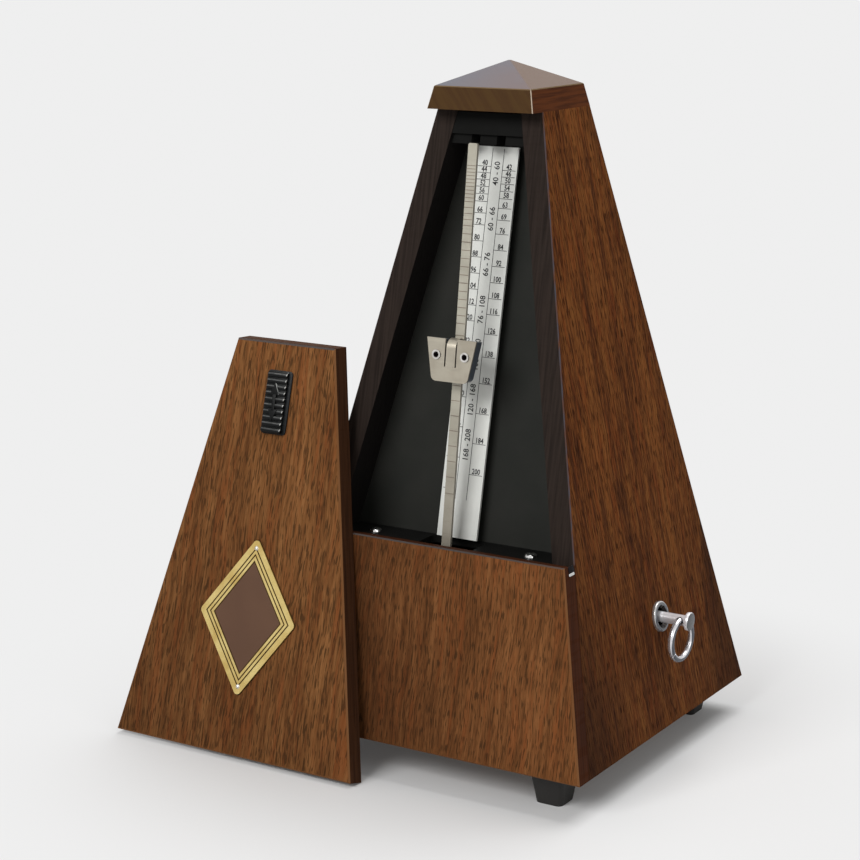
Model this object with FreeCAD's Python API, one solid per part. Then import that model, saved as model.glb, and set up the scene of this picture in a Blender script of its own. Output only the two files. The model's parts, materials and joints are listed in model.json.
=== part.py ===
"""Pyramid metronome, open, with its front cover leaned against the case.

Millimetres, +Z up, +Y to the back. Everything is drawn with the case's middle on the Z axis and
its underside at z = 0. When it is saved it is lifted onto its feet and moved so that the origin
is on the floor, under the middle of the case and the leaning cover together.
"""
import FreeCAD, Part
import math
import os

os.makedirs("parts", exist_ok=True)
V = FreeCAD.Vector

# ---- Driving dimensions: case ---------------------------------------------------------------
base_width = 115.0
top_width = 36.7
case_height = 186.8
wall = 7.2              # side panels
front_thick = 6.2       # cover and lower front panel
back_thick = 5.0
floor_thick = 6.0
edge_bevel = 0.45       # worked edge of the veneered fronts
side_bevel = 0.3        # worked long edges of the side panels
seam_height = 60.4      # top of the lower front panel, measured on its outer face
joint_gap = 0.3         # between panels that come apart
fixed_gap = 0.02        # between pieces that are driven or glued together
running_gap = 0.05      # shaft in its bearing

cap_neck = 0.9
cap_fascia = 6.8
cap_set_in = 1.7        # the fascia leans in by this much to the eaves
cap_rise = 15.0         # apex above the case
cap_tip = 0.8
cap_bevel = 0.22

foot_height = 11.0
foot_top = 12.0
foot_bottom = 8.6
foot_corner = 1.6
foot_inset_x = 14.4     # middle of a foot from the side of the case
foot_inset_y = 12.2
foot_well = 4.0         # depth of the sunk screw hole

# ---- Driving dimensions: inside front -------------------------------------------------------
board_depth = 18.0      # backboard face behind the front plane
board_thick = 2.0
shelf_drop = 4.0        # underside of the shelf below the seam
shelf_thick = 2.2
shelf_slot = 9.5
shelf_screw_inset = 30.0
bracket_half = 5.0
bracket_thick = 1.6
bracket_leg = 14.0
rest_drop = 9.5         # underside of the crossbar's teeth below the top of the case
bar_drop = 6.5          # underside of the crossbar itself
rest_depth = 7.5
rest_tab = 5.7
rest_slot = 3.0
plate_depth = 14.3
plate_width = 14.0
plate_rise = 0.9        # lower end above the shelf
plate_drop = 10.6       # upper end below the top of the case
plate_thick = 0.8
carrier_width = 8.0

# ---- Driving dimensions: pendulum -----------------------------------------------------------
pivot_height = 46.0
rod_depth = 9.3         # front of the rod behind the front plane while it is clipped
rod_width = 3.1
rod_thick = 1.0
rod_drop = 10.0         # tip below the top of the case
groove_first = 16.0
groove_step = 4.0
groove_wide = 0.25
groove_deep = 0.12
release_angle = 4.6     # out of its clip, the rod springs this far forward
weight_depth = 4.6
weight_low = 108.3
weight_high = 120.9
weight_top_width = 17.0
weight_low_width = 12.3
weight_corner = 1.8
weight_face_thick = 0.5
weight_side = 3.4
rivet_x = 4.9
rivet_height = 116.0
rivet_radius = 1.45
rivet_bore = 0.8
tongue_width = 3.2
slit_width = 0.5
slit_share = 0.65
weight_rear_wall = 0.4
bob_radius = 14.0
bob_thick = 11.5
bob_drop = 24.6
bob_rod_radius = 1.3
arbor_radius = 1.2
hub_radius = 4.5
hub_back = 6.0
bob_middle = 3.2        # middle of the hub's thickness
rod_foot = 4.2          # the rod reaches this far below the arbor
rod_screw = 0.8
rod_screw_at = 2.5

# ---- Driving dimensions: movement -----------------------------------------------------------
winding_behind = 45.35  # winding arbor behind the pendulum's pivot
winding_z = 32.7
frame_half = 20.0       # inside of the movement plates
frame_thick = 1.5
frame_behind = 7.85     # front edge of the plates behind the pivot
frame_back = 2.4        # rear edge of the plates beyond the great wheel's teeth
frame_drop = 3.4        # top of the plates below the shelf
frame_corner = 4.0
frame_flange = 9.0
flange_screw_in = 3.6
flange_screw_end = 8.0
flange_screw_depth = 4.0
pillar_radius = 2.0
module = 0.75
addendum = 0.85         # these two in modules
dedendum = 1.15
great_teeth = 48
pinion_teeth = 12
second_teeth = 36
crown_back = 30.2       # crown wheel behind the pendulum pivot, along the verge
crown_radius = 9.5
crown_teeth = 15
crown_wall = 1.0
crown_depth = 5.4
crown_clear = 3.4       # tooth points from the verge's middle
crown_tooth = 3.0
crown_arms = 3
pallet_reach = 2.9
pallet_width = 3.0
pallet_thick = 0.6
ratchet_teeth = 12
ratchet_radius = 8.0
spring_turns = 6
spring_inner = 4.0
spring_pitch = 1.8
spring_strip = 0.5
spring_width = 5.0
winding_radius = 2.5
turned_in = 8.65        # these four end or start inside the side's face, at the key's height
square_in = 3.45
key_in = 8.05
key_socket_in = 2.25
key_square = 3.0
key_socket_radius = 2.9
key_socket_deep = 5.0
key_radius = 2.0
key_out = 10.75         # the key's head stands this far out
key_head_radius = 2.9
key_head_thick = 1.5
ring_radius = 5.95
ring_wire = 0.75
ring_hole = 1.25
ring_behind = 1.7       # cross hole behind the key's head
ring_lift = 0.28        # the ring's wire rests this far above the key's axis
escutcheon_radius = 4.8
escutcheon_hole = 2.7
escutcheon_proud = 1.1
escutcheon_deep = 1.2
escutcheon_rim = 0.5
escutcheon_dish = 0.9   # width and depth of the hollow round its hole
key_hole = 3.6          # hole in the side panel
screw_shank = 1.5
foot_screw_head = 2.7
rear_cock_y = 41.2      # along the verge, from the pivot
front_bridge_y = 7.2
bridge_thick = 2.0
bridge_half = 5.0
cock_half = 4.0
cock_end = 4.2
bush_radius = 2.6
escape_x = -12.5
escape_thick = 1.5
escape_half = 2.5
escape_post = 1.5
escape_aside = 8.0
escape_away = 2.0
pillar_screw = 1.0
pillar_end = 4.4        # pillars from the ends of the plates
pillar_drop = 4.0       # from their top
pillar_rise = 4.0       # and from their foot
pillar_shoulder = 5.0
pillar_waist = 0.45
nut_across = 4.0
nut_thick = 2.0
post_radius = 1.6
post_reach = 16.9       # spring post behind the winding arbor
spring_x = 4.7
click_arm = 12.4        # click's screw from the winding arbor
click_angle = math.radians(20)
click_pin = 0.9
click_x = 13.2
click_thick = 1.8
ratchet_phase = math.radians(48)
second_side = -1        # the second wheel lies above or below the line of its neighbours
great_x = 10.0
great_thick = 2.6
great_hub = 6.0
great_rim = 3.2         # rim inside the pitch circle
great_arms = 5
second_x = -17.4
second_thick = 1.6
second_hub = 4.4
second_rim = 2.7
second_arms = 4
collet_radius = 2.6
collet_length = 2.0
second_pinion_end = 14.0
crown_pinion_x = -18.6
crown_pinion_end = -14.6

# ---- Driving dimensions: cover --------------------------------------------------------------
cover_lean = 15.0
cover_aside = 0.5       # the cover's middle line beside the case
cover_route = 2.4       # depth of the clearing for the weight, inside
route_edge = 7.0
route_side = 1.2
route_corner = 3.0
badge_width = 36.0
badge_height = 50.0
badge_rise = 43.1       # centre above the cover's lower edge
badge_thick = 1.0
badge_corner = 1.4
badge_sink = 0.35
badge_field = 4.55      # edge of the enamel inside the outline
badge_field_deep = 0.3
badge_lines = [1.8, 2.98]
badge_line_wide = 0.42
badge_line_deep = 0.1
badge_line_corner = 0.35
nail_radius = 0.75
nail_shank = 0.55
nail_inset = 3.4
catch_drop = 8.56       # upper end below the cover's upper edge
catch_length = 19.9
catch_flange = 4.6
catch_body = 3.6
catch_proud = 2.3
catch_base = 0.7
catch_edge = 1.0        # flange beyond the thumb piece, at the ends
catch_stem = 1.9
catch_stem_rise = 7.0
catch_stem_drop = 5.5
catch_travel = 4.0
catch_ribs = 10
catch_rib_deep = 0.45
catch_rib_gap = 0.38
arrow_half = 5.9        # raised double arrow on the thumb piece
arrow_head = 3.6
arrow_wide = 1.7
arrow_stem = 0.55
arrow_proud = 0.15
hook_half = 5.8
hook_thick = 1.4
prong_half = 1.0
prong_end = 10.2

# ---- Worked out -----------------------------------------------------------------------------
slope = (base_width - top_width) / 2 / case_height
lean = math.atan(slope)
lean_cos = math.cos(lean)
lean_sin = math.sin(lean)
half_base = base_width / 2
wall_across = wall / lean_cos
reach = base_width
released_lean = lean - math.radians(release_angle)
slope_length = case_height / lean_cos
panel_high = case_height + cap_neck
foot_x = half_base - foot_inset_x
foot_y = half_base - foot_inset_y
shelf_low = seam_height - shelf_drop
shelf_top = shelf_low + shelf_thick
shelf_screw_x = half_base - shelf_screw_inset
rest_low = case_height - rest_drop
rest_split = case_height - bar_drop
plate_low = shelf_top + plate_rise
plate_high = case_height - plate_drop
rod_tip = case_height - rod_drop

FRONT = FreeCAD.Placement(V(0, -half_base, 0), FreeCAD.Rotation(V(1, 0, 0), -math.degrees(lean)))
pivot_y = -half_base + slope * pivot_height + (rod_depth + rod_thick / 2) / lean_cos
PIVOT = V(0, pivot_y, pivot_height)
VERGE = FreeCAD.Placement(PIVOT, FreeCAD.Rotation(V(1, 0, 0), -math.degrees(released_lean)))
RELEASE = FreeCAD.Placement(V(), FreeCAD.Rotation(V(1, 0, 0), release_angle), PIVOT)

winding_y = pivot_y + winding_behind
frame_front = pivot_y + frame_behind
great_tip = module * (great_teeth / 2 + addendum)
frame_rear = winding_y + great_tip + frame_back
frame_high = shelf_low - frame_drop
pillar_low = floor_thick + pillar_rise
pillar_high = frame_high - pillar_drop
pillar_places = [(frame_front + pillar_end, pillar_low), (frame_front + pillar_end, pillar_high),
                 (frame_rear - pillar_end, pillar_low), (frame_rear - pillar_end, pillar_high)]
second_pinion_x = spring_x + spring_width + running_gap

face_x = half_base - slope * winding_z
winding_end = face_x - turned_in
square_end = face_x - square_in
key_start = face_x - key_in
key_socket_end = face_x - key_socket_in
key_end = face_x + key_out
ring_x = key_end - key_head_thick - ring_behind
KEY_SEAT = FreeCAD.Placement(V(face_x, winding_y, winding_z),
                             FreeCAD.Rotation(V(0, 1, 0), 90 - math.degrees(lean)))

tilt = math.radians(cover_lean)
cover_low = seam_height / lean_cos + joint_gap
badge_along = cover_low + badge_rise
catch_high = slope_length - catch_drop
catch_low = catch_high - catch_length
catch_stem_low = catch_low + catch_stem_rise
catch_stem_high = catch_high - catch_stem_drop
cover_x = -half_base - cover_aside
panel_corner_y = -half_base + slope * seam_height
cover_front_y = (panel_corner_y - joint_gap - (seam_height + foot_height) * math.tan(tilt)
                 - front_thick * math.cos(tilt))
LEANED = FreeCAD.Placement(V(cover_x, cover_front_y, -foot_height + front_thick * math.sin(tilt)),
                           FreeCAD.Rotation(V(1, 0, 0), -cover_lean))
FLAT_COVER = FreeCAD.Placement(V(0, 0, -cover_low), FreeCAD.Rotation())

cover_half = half_base - slope * (cover_low * lean_cos - front_thick * lean_sin)
middle_x = (cover_x - cover_half + key_end) / 2
middle_y = (cover_front_y + edge_bevel * math.sin(tilt) + half_base) / 2


# ---- Helpers --------------------------------------------------------------------------------
def save(name, shape):
    """Write one node, standing on z = 0 about the middle of the whole."""
    solid = shape.copy()
    solid.translate(V(-middle_x, -middle_y, foot_height))
    solid.exportStep("parts/" + name + ".step")


def moved(shape, placement):
    """A copy of a shape carried by a placement."""
    copy = shape.copy()
    copy.Placement = placement.multiply(copy.Placement)
    return copy


def prism(points, vector):
    """Straight prism on a closed polygon."""
    return Part.Face(Part.makePolygon(points + [points[0]])).extrude(vector)


def box(x_low, x_high, y_low, y_high, z_low, z_high):
    """Box between two corners."""
    return Part.makeBox(x_high - x_low, y_high - y_low, z_high - z_low, V(x_low, y_low, z_low))


def rod_x(radius, x_low, x_high, y=0.0, z=0.0):
    """Round bar along X."""
    return Part.makeCylinder(radius, x_high - x_low, V(x_low, y, z), V(1, 0, 0))


def rod_y(radius, y_low, y_high, x=0.0, z=0.0):
    """Round bar along Y."""
    return Part.makeCylinder(radius, y_high - y_low, V(x, y_low, z), V(0, 1, 0))


def rod_z(radius, z_low, z_high, x=0.0, y=0.0):
    """Round bar along Z."""
    return Part.makeCylinder(radius, z_high - z_low, V(x, y, z_low), V(0, 0, 1))


def group(shapes):
    """Separate solids of one node."""
    return Part.makeCompound(shapes)


def side_line(sign, inset):
    """x of a side plane, moved inwards by a true thickness, at any height."""
    return lambda z: sign * (half_base - slope * z - inset / lean_cos)


def front_line(inset):
    """y of the front plane, moved inwards by a true thickness, at any height."""
    return lambda z: -half_base + slope * z + inset / lean_cos


def back_line(inset):
    """y of the back plane, moved inwards by a true thickness, at any height."""
    return lambda z: half_base - slope * z - inset / lean_cos


def slab_x(low, high, z_low, z_high):
    """Solid between two slanting x lines, running through in Y."""
    points = [V(low(z_low), -reach, z_low), V(high(z_low), -reach, z_low)]
    points += [V(high(z_high), -reach, z_high), V(low(z_high), -reach, z_high)]
    return prism(points, V(0, 2 * reach, 0))


def slab_y(low, high, z_low, z_high):
    """Solid between two slanting y lines, running through in X."""
    points = [V(-reach, low(z_low), z_low), V(-reach, high(z_low), z_low)]
    points += [V(-reach, high(z_high), z_high), V(-reach, low(z_high), z_high)]
    return prism(points, V(2 * reach, 0, 0))


def on_slope(z, depth):
    """Distance up the slope of a point at a height and a depth behind the front plane."""
    return (z + depth * lean_sin) / lean_cos


def front_box(x_low, x_high, depth_low, depth_high, z_low, z_high):
    """Box parallel to the front plane, its heights taken at its front face."""
    s_low = on_slope(z_low, depth_low)
    s_high = on_slope(z_high, depth_low)
    return moved(box(x_low, x_high, depth_low, depth_high, s_low, s_high), FRONT)


def inside(z_low, z_high, gap):
    """Room between the side panels."""
    return slab_x(side_line(-1, wall + gap), side_line(1, wall + gap), z_low, z_high)


def polar(radius, angle, x=0.0):
    """Point on a circle about the X axis; the angle runs from +Y to +Z."""
    return V(x, radius * math.cos(angle), radius * math.sin(angle))


def at_yz(shape, y, z):
    """A copy moved across the X axis."""
    copy = shape.copy()
    copy.translate(V(0, y, z))
    return copy


def toothed(teeth, x_low, x_high, phase):
    """Toothed wheel about the X axis, a tooth standing at the phase angle."""
    pitch_radius = teeth * module / 2
    root = pitch_radius - dedendum * module
    tip = pitch_radius + addendum * module
    root_half = 0.80 * module / root
    tip_half = 0.26 * module / tip
    step = 2 * math.pi / teeth
    corners = []
    for index in range(teeth):
        middle = phase + index * step
        corners.append(polar(root, middle - root_half, x_low))
        corners.append(polar(tip, middle - tip_half, x_low))
        corners.append(polar(tip, middle + tip_half, x_low))
        corners.append(polar(root, middle + root_half, x_low))
    return prism(corners, V(x_high - x_low, 0, 0))


def crossed_out(hub, rim, arms, x_low, x_high):
    """Windows between the arms of a wheel, as one cutting shape."""
    ring = rod_x(rim, x_low - 1, x_high + 1).cut(rod_x(hub, x_low - 1, x_high + 1))
    bars = []
    for index in range(arms):
        bar = box(x_low - 1, x_high + 1, 0, rim + 1, -hub / 4, hub / 4)
        bar.rotate(V(), V(1, 0, 0), 360.0 * index / arms)
        bars.append(bar)
    return ring.cut(bars)


def screw_z(x, y, head_z, length, radius, head_radius, head_thick):
    """Slotted screw pointing down from the underside of its head."""
    body = rod_z(radius, head_z - length, head_z + head_thick / 2, x, y)
    head = rod_z(head_radius, head_z, head_z + head_thick, x, y)
    slot = box(x - head_radius, x + head_radius, y - 0.3, y + 0.3, head_z + head_thick / 2, head_z + 9)
    return body.fuse(head).cut(slot).removeSplitter()


# ---- Case -----------------------------------------------------------------------------------
def outer_body():
    """The whole outside form of the case, as one solid."""
    across = slab_x(side_line(-1, 0), side_line(1, 0), 0, case_height)
    return across.common(slab_y(front_line(0), back_line(0), 0, case_height))


def bevel_front(shape):
    """Work the edges of a panel that lie in the front plane."""
    edges = []
    for edge in shape.Edges:
        ends = [vertex.Point for vertex in edge.Vertexes]
        if all(abs(p.y - front_line(0)(p.z)) < 0.001 for p in ends):
            edges.append(edge)
    return shape.makeChamfer(edge_bevel, edges)


def side_panel(sign):
    """Side panel, running from behind the fronts to the back plane, its outer corners worked."""
    outer = side_line(sign, 0)
    inner = side_line(sign, wall)
    low, high = (inner, outer) if sign > 0 else (outer, inner)
    panel = slab_x(low, high, 0, panel_high)
    panel = panel.common(slab_y(front_line(front_thick), back_line(0), 0, panel_high))
    edges = []
    for edge in panel.Edges:
        ends = [vertex.Point for vertex in edge.Vertexes]
        if edge.Length > case_height and all(abs(p.x - outer(p.z)) < 0.001 for p in ends):
            edges.append(edge)
    return panel.makeChamfer(side_bevel, edges)


def back_panel():
    """Back panel, let in between the side panels."""
    room = inside(0, panel_high, fixed_gap)
    return room.common(slab_y(back_line(back_thick), back_line(0), 0, panel_high))


def base_board():
    """Floor of the case, with holes for the foot screws."""
    board = inside(0, floor_thick, fixed_gap)
    board = board.common(slab_y(front_line(front_thick + fixed_gap),
                                back_line(back_thick + fixed_gap), 0, floor_thick))
    holes = [rod_z(screw_shank + fixed_gap, -1, floor_thick - 0.6, x, y) for x, y in foot_places()]
    holes += [rod_z(screw_shank + fixed_gap, floor_thick - flange_screw_depth - 0.2, floor_thick + 1, x, y)
              for s in (-1, 1) for x, y in flange_screw_places(s)]
    return board.cut(holes)


def lower_front_panel():
    """Fixed lower part of the front, its top edge square to its face."""
    cut = moved(box(-reach, reach, 0, front_thick, -reach, seam_height / lean_cos), FRONT)
    return bevel_front(outer_body().common(cut))


def top_block():
    """Block between the panels that closes the top and carries the cap with them."""
    block = inside(rest_split, panel_high, fixed_gap)
    return block.common(slab_y(front_line(plate_depth), back_line(back_thick + fixed_gap),
                               rest_split, panel_high))


def frustum(half_low, z_low, half_high, z_high):
    """Square frustum about the Z axis."""
    across = prism([V(-half_low, -half_low, z_low), V(half_low, -half_low, z_low),
                    V(half_high, -half_low, z_high), V(-half_high, -half_low, z_high)],
                   V(0, 2 * half_low, 0))
    along = across.copy()
    along.rotate(V(), V(0, 0, 1), 90)
    return across.common(along)


def roof_cap():
    """Low pyramid on a tapering fascia, its corners eased."""
    eaves = panel_high + cap_fascia
    eaves_half = top_width / 2 - cap_set_in
    fascia = frustum(top_width / 2 - slope * cap_neck, panel_high, eaves_half, eaves)
    roof = frustum(eaves_half, eaves, cap_tip / 2, case_height + cap_rise)
    cap = fascia.fuse(roof).removeSplitter()
    edges = [e for e in cap.Edges if e.BoundBox.ZMax > panel_high + 1 and e.Length > 2 * cap_tip]
    return cap.makeChamfer(cap_bevel, edges)


# ---- Feet -----------------------------------------------------------------------------------
def foot_places():
    """Centres of the four feet."""
    return [(x, y) for y in (-foot_y, foot_y) for x in (-foot_x, foot_x)]


def foot(x, y):
    """Tapered foot with round corners and a sunk screw hole."""
    body = frustum(foot_top / 2, 0, foot_bottom / 2, foot_height)
    body.rotate(V(), V(1, 0, 0), 180)
    corners = [e for e in body.Edges if abs(e.tangentAt(0).z) > 0.5]
    body = body.makeFillet(foot_corner, corners)
    body = body.cut(rod_z(screw_shank + 0.2, -foot_height - 1, 1))
    body = body.cut(rod_z(foot_screw_head + 0.2, -foot_height - 1, foot_well - foot_height))
    body.translate(V(x, y, 0))
    return body


def foot_screw(x, y):
    """Pan-head screw from below, into the base board."""
    seat = foot_well - foot_height
    shank = rod_z(screw_shank, seat, floor_thick - 0.8, x, y)
    head = rod_z(foot_screw_head, seat - 2, seat, x, y)
    slot = box(x - 4, x + 4, y - 0.35, y + 0.35, seat - 3, seat - 1.1)
    return shank.fuse(head).cut(slot).removeSplitter()


# ---- Inside front ---------------------------------------------------------------------------
def backboard():
    """Dark board behind the pendulum."""
    board = inside(shelf_top, rest_split, fixed_gap)
    return board.common(slab_y(front_line(board_depth), front_line(board_depth + board_thick),
                               shelf_top, rest_split))


def shelf():
    """Shelf behind the lower front panel, slotted for the pendulum."""
    plate = inside(shelf_low, shelf_top, fixed_gap)
    plate = plate.common(slab_y(front_line(front_thick + fixed_gap),
                                front_line(board_depth + board_thick), shelf_low, shelf_top))
    lip = front_line(front_thick)(shelf_low)
    slot = box(-shelf_slot, shelf_slot, lip - 9, lip + 11.2, shelf_low - 1, shelf_low + 9)
    slot = slot.makeFillet(2.0, [e for e in slot.Edges if abs(e.tangentAt(0).z) > 0.9])
    holes = [rod_z(screw_shank + 0.1, shelf_low - 1, shelf_low + 9, x, y)
             for x, y in shelf_screw_places()]
    return plate.cut([slot] + holes)


def shelf_screw_places():
    """Centres of the two shelf screws."""
    y = front_line(11.5)(shelf_top)
    return [(-shelf_screw_x, y), (shelf_screw_x, y)]


def shelf_screw(x, y):
    """Round-head screw through the shelf and its bracket."""
    return screw_z(x, y, shelf_top, shelf_thick + 6, screw_shank, 2.7, 1.1)


def shelf_brackets():
    """Two angle brackets that carry the shelf on the lower front panel."""
    shapes = []
    for x, y in shelf_screw_places():
        back = front_line(front_thick + 0.1)
        low = shelf_low - bracket_leg
        sides = (x - bracket_half, x + bracket_half)
        arm = box(*sides, back(shelf_low), y + 4, shelf_low - bracket_thick, shelf_low)
        leg = slab_y(back, front_line(front_thick + 0.1 + bracket_thick), low, shelf_low)
        leg = leg.common(box(*sides, -reach, reach, low, shelf_low))
        arm = arm.cut(slab_y(lambda z: -reach, back, shelf_low - 3, shelf_low + 1))
        hole = rod_z(screw_shank + 0.1, shelf_low - 5, shelf_low + 1, x, y)
        shapes.append(arm.fuse(leg).cut(hole).removeSplitter())
    return group(shapes)


def pendulum_rest():
    """Crossbar with the tab and blocks that hold the rod's tip."""
    room = inside(rest_low, case_height, fixed_gap)
    bar = slab_y(front_line(6.4), front_line(plate_depth - fixed_gap), rest_split, case_height)
    teeth = slab_y(front_line(rest_depth), front_line(12.5), rest_low, rest_split)
    half_tab = rest_tab / 2
    slots = [box(s * half_tab + (0 if s > 0 else -rest_slot), s * half_tab + (rest_slot if s > 0 else 0),
                 -reach, reach, rest_low - 1, rest_split) for s in (-1, 1)]
    pockets = []
    for s in (-1, 1):
        x = s * (half_tab + rest_slot / 2)
        pocket = slab_y(front_line(8.6), front_line(reach), rest_split - 1, rest_split + 4.2)
        pockets.append(pocket.common(box(x - rest_slot / 2, x + rest_slot / 2, -reach, reach,
                                         0, case_height)))
    return room.common(bar.fuse(teeth)).cut(slots + pockets).removeSplitter()


def scale_carrier():
    """Dark spine that holds the tempo plate off the backboard."""
    return front_box(-carrier_width / 2, carrier_width / 2, plate_depth + plate_thick,
                     board_depth - fixed_gap, plate_low + 1, plate_high - 3)


def tempo_scale():
    """Tempo plate, bare of marks."""
    return front_box(-plate_width / 2, plate_width / 2, plate_depth, plate_depth + plate_thick,
                     plate_low, plate_high)


# ---- Pendulum (drawn clipped, then let forward) ---------------------------------------------
def pendulum_rod():
    """Flat graduated rod, its foot screwed to the hub."""
    half = rod_width / 2
    axis = on_slope(pivot_height, rod_depth + rod_thick / 2)
    high = on_slope(rod_tip, rod_depth)
    bar = box(-half, half, rod_depth, rod_depth + rod_thick, axis - rod_foot, high)
    bar = bar.makeFillet(0.6, [e for e in bar.Edges if abs(e.tangentAt(0).y) > 0.9])
    count = int((high - axis - 2 * groove_first) / groove_step)
    grooves = [box(-half, half, rod_depth - 1, rod_depth + groove_deep,
                   axis + groove_first + n * groove_step,
                   axis + groove_first + n * groove_step + groove_wide) for n in range(count)]
    holes = [rod_y(rod_screw + 0.05, 0, 30, 0, axis + s * rod_screw_at) for s in (-1, 1)]
    return moved(moved(bar.cut(grooves + holes).removeSplitter(), FRONT), RELEASE)


def weight_ends():
    """Lower and upper end of the weight, up the slope."""
    return on_slope(weight_low, weight_depth), on_slope(weight_high, weight_depth)


def slit_low():
    """Lower end of the slits beside the spring tongue."""
    s_low, s_high = weight_ends()
    return s_high - slit_share * (s_high - s_low)


def weight_blank(shrink, depth_low, depth_high):
    """Prism on the weight's outline: a trapezoid with round lower corners."""
    s_low, s_high = weight_ends()
    low = weight_low_width / 2 - shrink
    high = weight_top_width / 2 - shrink
    blank = prism([V(-low, depth_low, s_low + shrink), V(low, depth_low, s_low + shrink),
                   V(high, depth_low, s_high - shrink), V(-high, depth_low, s_high - shrink)],
                  V(0, depth_high - depth_low, 0))
    corners = [e for e in blank.Edges
               if abs(e.tangentAt(0).y) > 0.9 and e.CenterOfMass.z < s_low + 1]
    return blank.makeFillet(weight_corner, corners)


def rivet_places():
    """Centres of the two tubular rivets, across and up the slope."""
    return [(x, on_slope(rivet_height, weight_depth)) for x in (-rivet_x, rivet_x)]


def weight_face():
    """Thin bright face, slit for the spring tongue."""
    depth = weight_depth
    face = weight_blank(0, depth, depth + weight_face_thick)
    half = tongue_width / 2 + slit_width
    window = box(-half, half, depth - 1, depth + 2, slit_low(), weight_ends()[1] + 1)
    holes = [rod_y(rivet_radius - 0.25, depth - 1, depth + 2, x, s) for x, s in rivet_places()]
    return moved(moved(face.cut([window] + holes), FRONT), RELEASE)


def weight_body():
    """Dark body of the weight, with a way through for the rod."""
    near = weight_depth + weight_face_thick
    s_low, s_high = weight_ends()
    body = weight_blank(0.25, near, near + weight_side)
    rear = box(-4.4, 4.4, near + weight_side, rod_depth + rod_thick + weight_rear_wall,
               s_low + 1, s_high - 1)
    body = body.fuse(rear)
    half = rod_width / 2 + 0.06
    way = box(-half, half, rod_depth - 0.06, rod_depth + rod_thick + 0.06, s_low - 1, s_high + 1)
    room = box(-tongue_width / 2 - slit_width, tongue_width / 2 + slit_width, near - 1,
               rod_depth, slit_low(), s_high + 1)
    holes = [rod_y(rivet_radius - 0.25 + fixed_gap, near - 1, rod_depth, x, s)
             for x, s in rivet_places()]
    return moved(moved(body.cut([way, room] + holes).removeSplitter(), FRONT), RELEASE)


def weight_rivets():
    """Two tubular rivets through the weight."""
    rivets = []
    near = weight_depth
    for x, s in rivet_places():
        head = rod_y(rivet_radius, near - 0.35, near, x, s)
        tube = rod_y(rivet_radius - 0.25 - fixed_gap, near - 0.1, near + weight_side, x, s)
        rivets.append(head.fuse(tube).cut(rod_y(rivet_bore, near - 2, near + 2.6, x, s)))
    return moved(moved(group(rivets), FRONT), RELEASE)


def weight_tongue():
    """Spring tongue of the weight: flat below, curled back onto the rod at its upper end."""
    half = tongue_width / 2
    s_high = weight_ends()[1]
    root = slit_low() + fixed_gap
    bend = s_high - 2.6
    outer = weight_depth
    inner = outer + weight_face_thick
    touch = rod_depth - running_gap
    line = [Part.LineSegment(V(-half, outer, root), V(-half, outer, bend)).toShape(),
            Part.Arc(V(-half, outer, bend), V(-half, outer + 1.0, s_high - 0.5),
                     V(-half, touch, s_high - 0.3)).toShape(),
            Part.LineSegment(V(-half, touch, s_high - 0.3), V(-half, touch, s_high - 0.9)).toShape(),
            Part.Arc(V(-half, touch, s_high - 0.9), V(-half, inner + 0.9, s_high - 1.1),
                     V(-half, inner, bend)).toShape(),
            Part.LineSegment(V(-half, inner, bend), V(-half, inner, root)).toShape(),
            Part.LineSegment(V(-half, inner, root), V(-half, outer, root)).toShape()]
    tongue = Part.Face(Part.Wire(line)).extrude(V(tongue_width, 0, 0))
    return moved(moved(tongue, FRONT), RELEASE)


def pendulum_hub():
    """Hub on the verge: a seat for the rod's foot, and the short rod below that carries the bob."""
    seat_face = rod_thick / 2 + fixed_gap
    disc = rod_y(hub_radius, seat_face, hub_back)
    rims = [e for e in disc.Edges if e.Curve.TypeId == "Part::GeomCircle"]
    disc = disc.makeChamfer(0.4, rims)
    lower_rod = rod_z(bob_rod_radius, -bob_drop - bob_radius + 2, -hub_radius + 0.6, 0, bob_middle)
    collar = rod_z(bob_rod_radius + 0.9, -hub_radius - 2.2, -hub_radius + 1.2, 0, bob_middle)
    hub = disc.fuse([lower_rod, collar])
    hub = hub.cut(rod_y(arbor_radius + fixed_gap, seat_face + 1.2, hub_back + 1))
    holes = [rod_y(rod_screw + fixed_gap, 0, 3.4, 0, s * rod_screw_at) for s in (-1, 1)]
    return moved(hub.cut(holes).removeSplitter(), VERGE)


def rod_screws():
    """Two slotted screws that hold the rod's foot on the hub."""
    screws = []
    face = -rod_thick / 2
    for s in (-1, 1):
        z = s * rod_screw_at
        screw = rod_y(rod_screw, face - 0.1, 3.2, 0, z).fuse(rod_y(1.45, face - 0.9, face, 0, z))
        slot = box(-2, 2, face - 2, face - 0.5, z - 0.2, z + 0.2)
        screws.append(screw.cut(slot).removeSplitter())
    return moved(group(screws), VERGE)


def counterweight():
    """Heavy bob with a turned edge, hung on its rod."""
    half = bob_thick / 2
    disc = rod_y(bob_radius, bob_middle - half, bob_middle + half, 0, -bob_drop)
    rims = [e for e in disc.Edges if e.Curve.TypeId == "Part::GeomCircle"]
    disc = disc.makeChamfer(1.2, rims)
    hole = rod_z(bob_rod_radius + fixed_gap, -bob_drop - bob_radius + 1.9, 0, 0, bob_middle)
    return moved(disc.cut(hole), VERGE)


def verge_arbor():
    """Arbor of the pendulum, running back through its two bearings."""
    return moved(rod_y(arbor_radius, rod_thick / 2 + 1.3, rear_cock_y + 3.4), VERGE)


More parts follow.
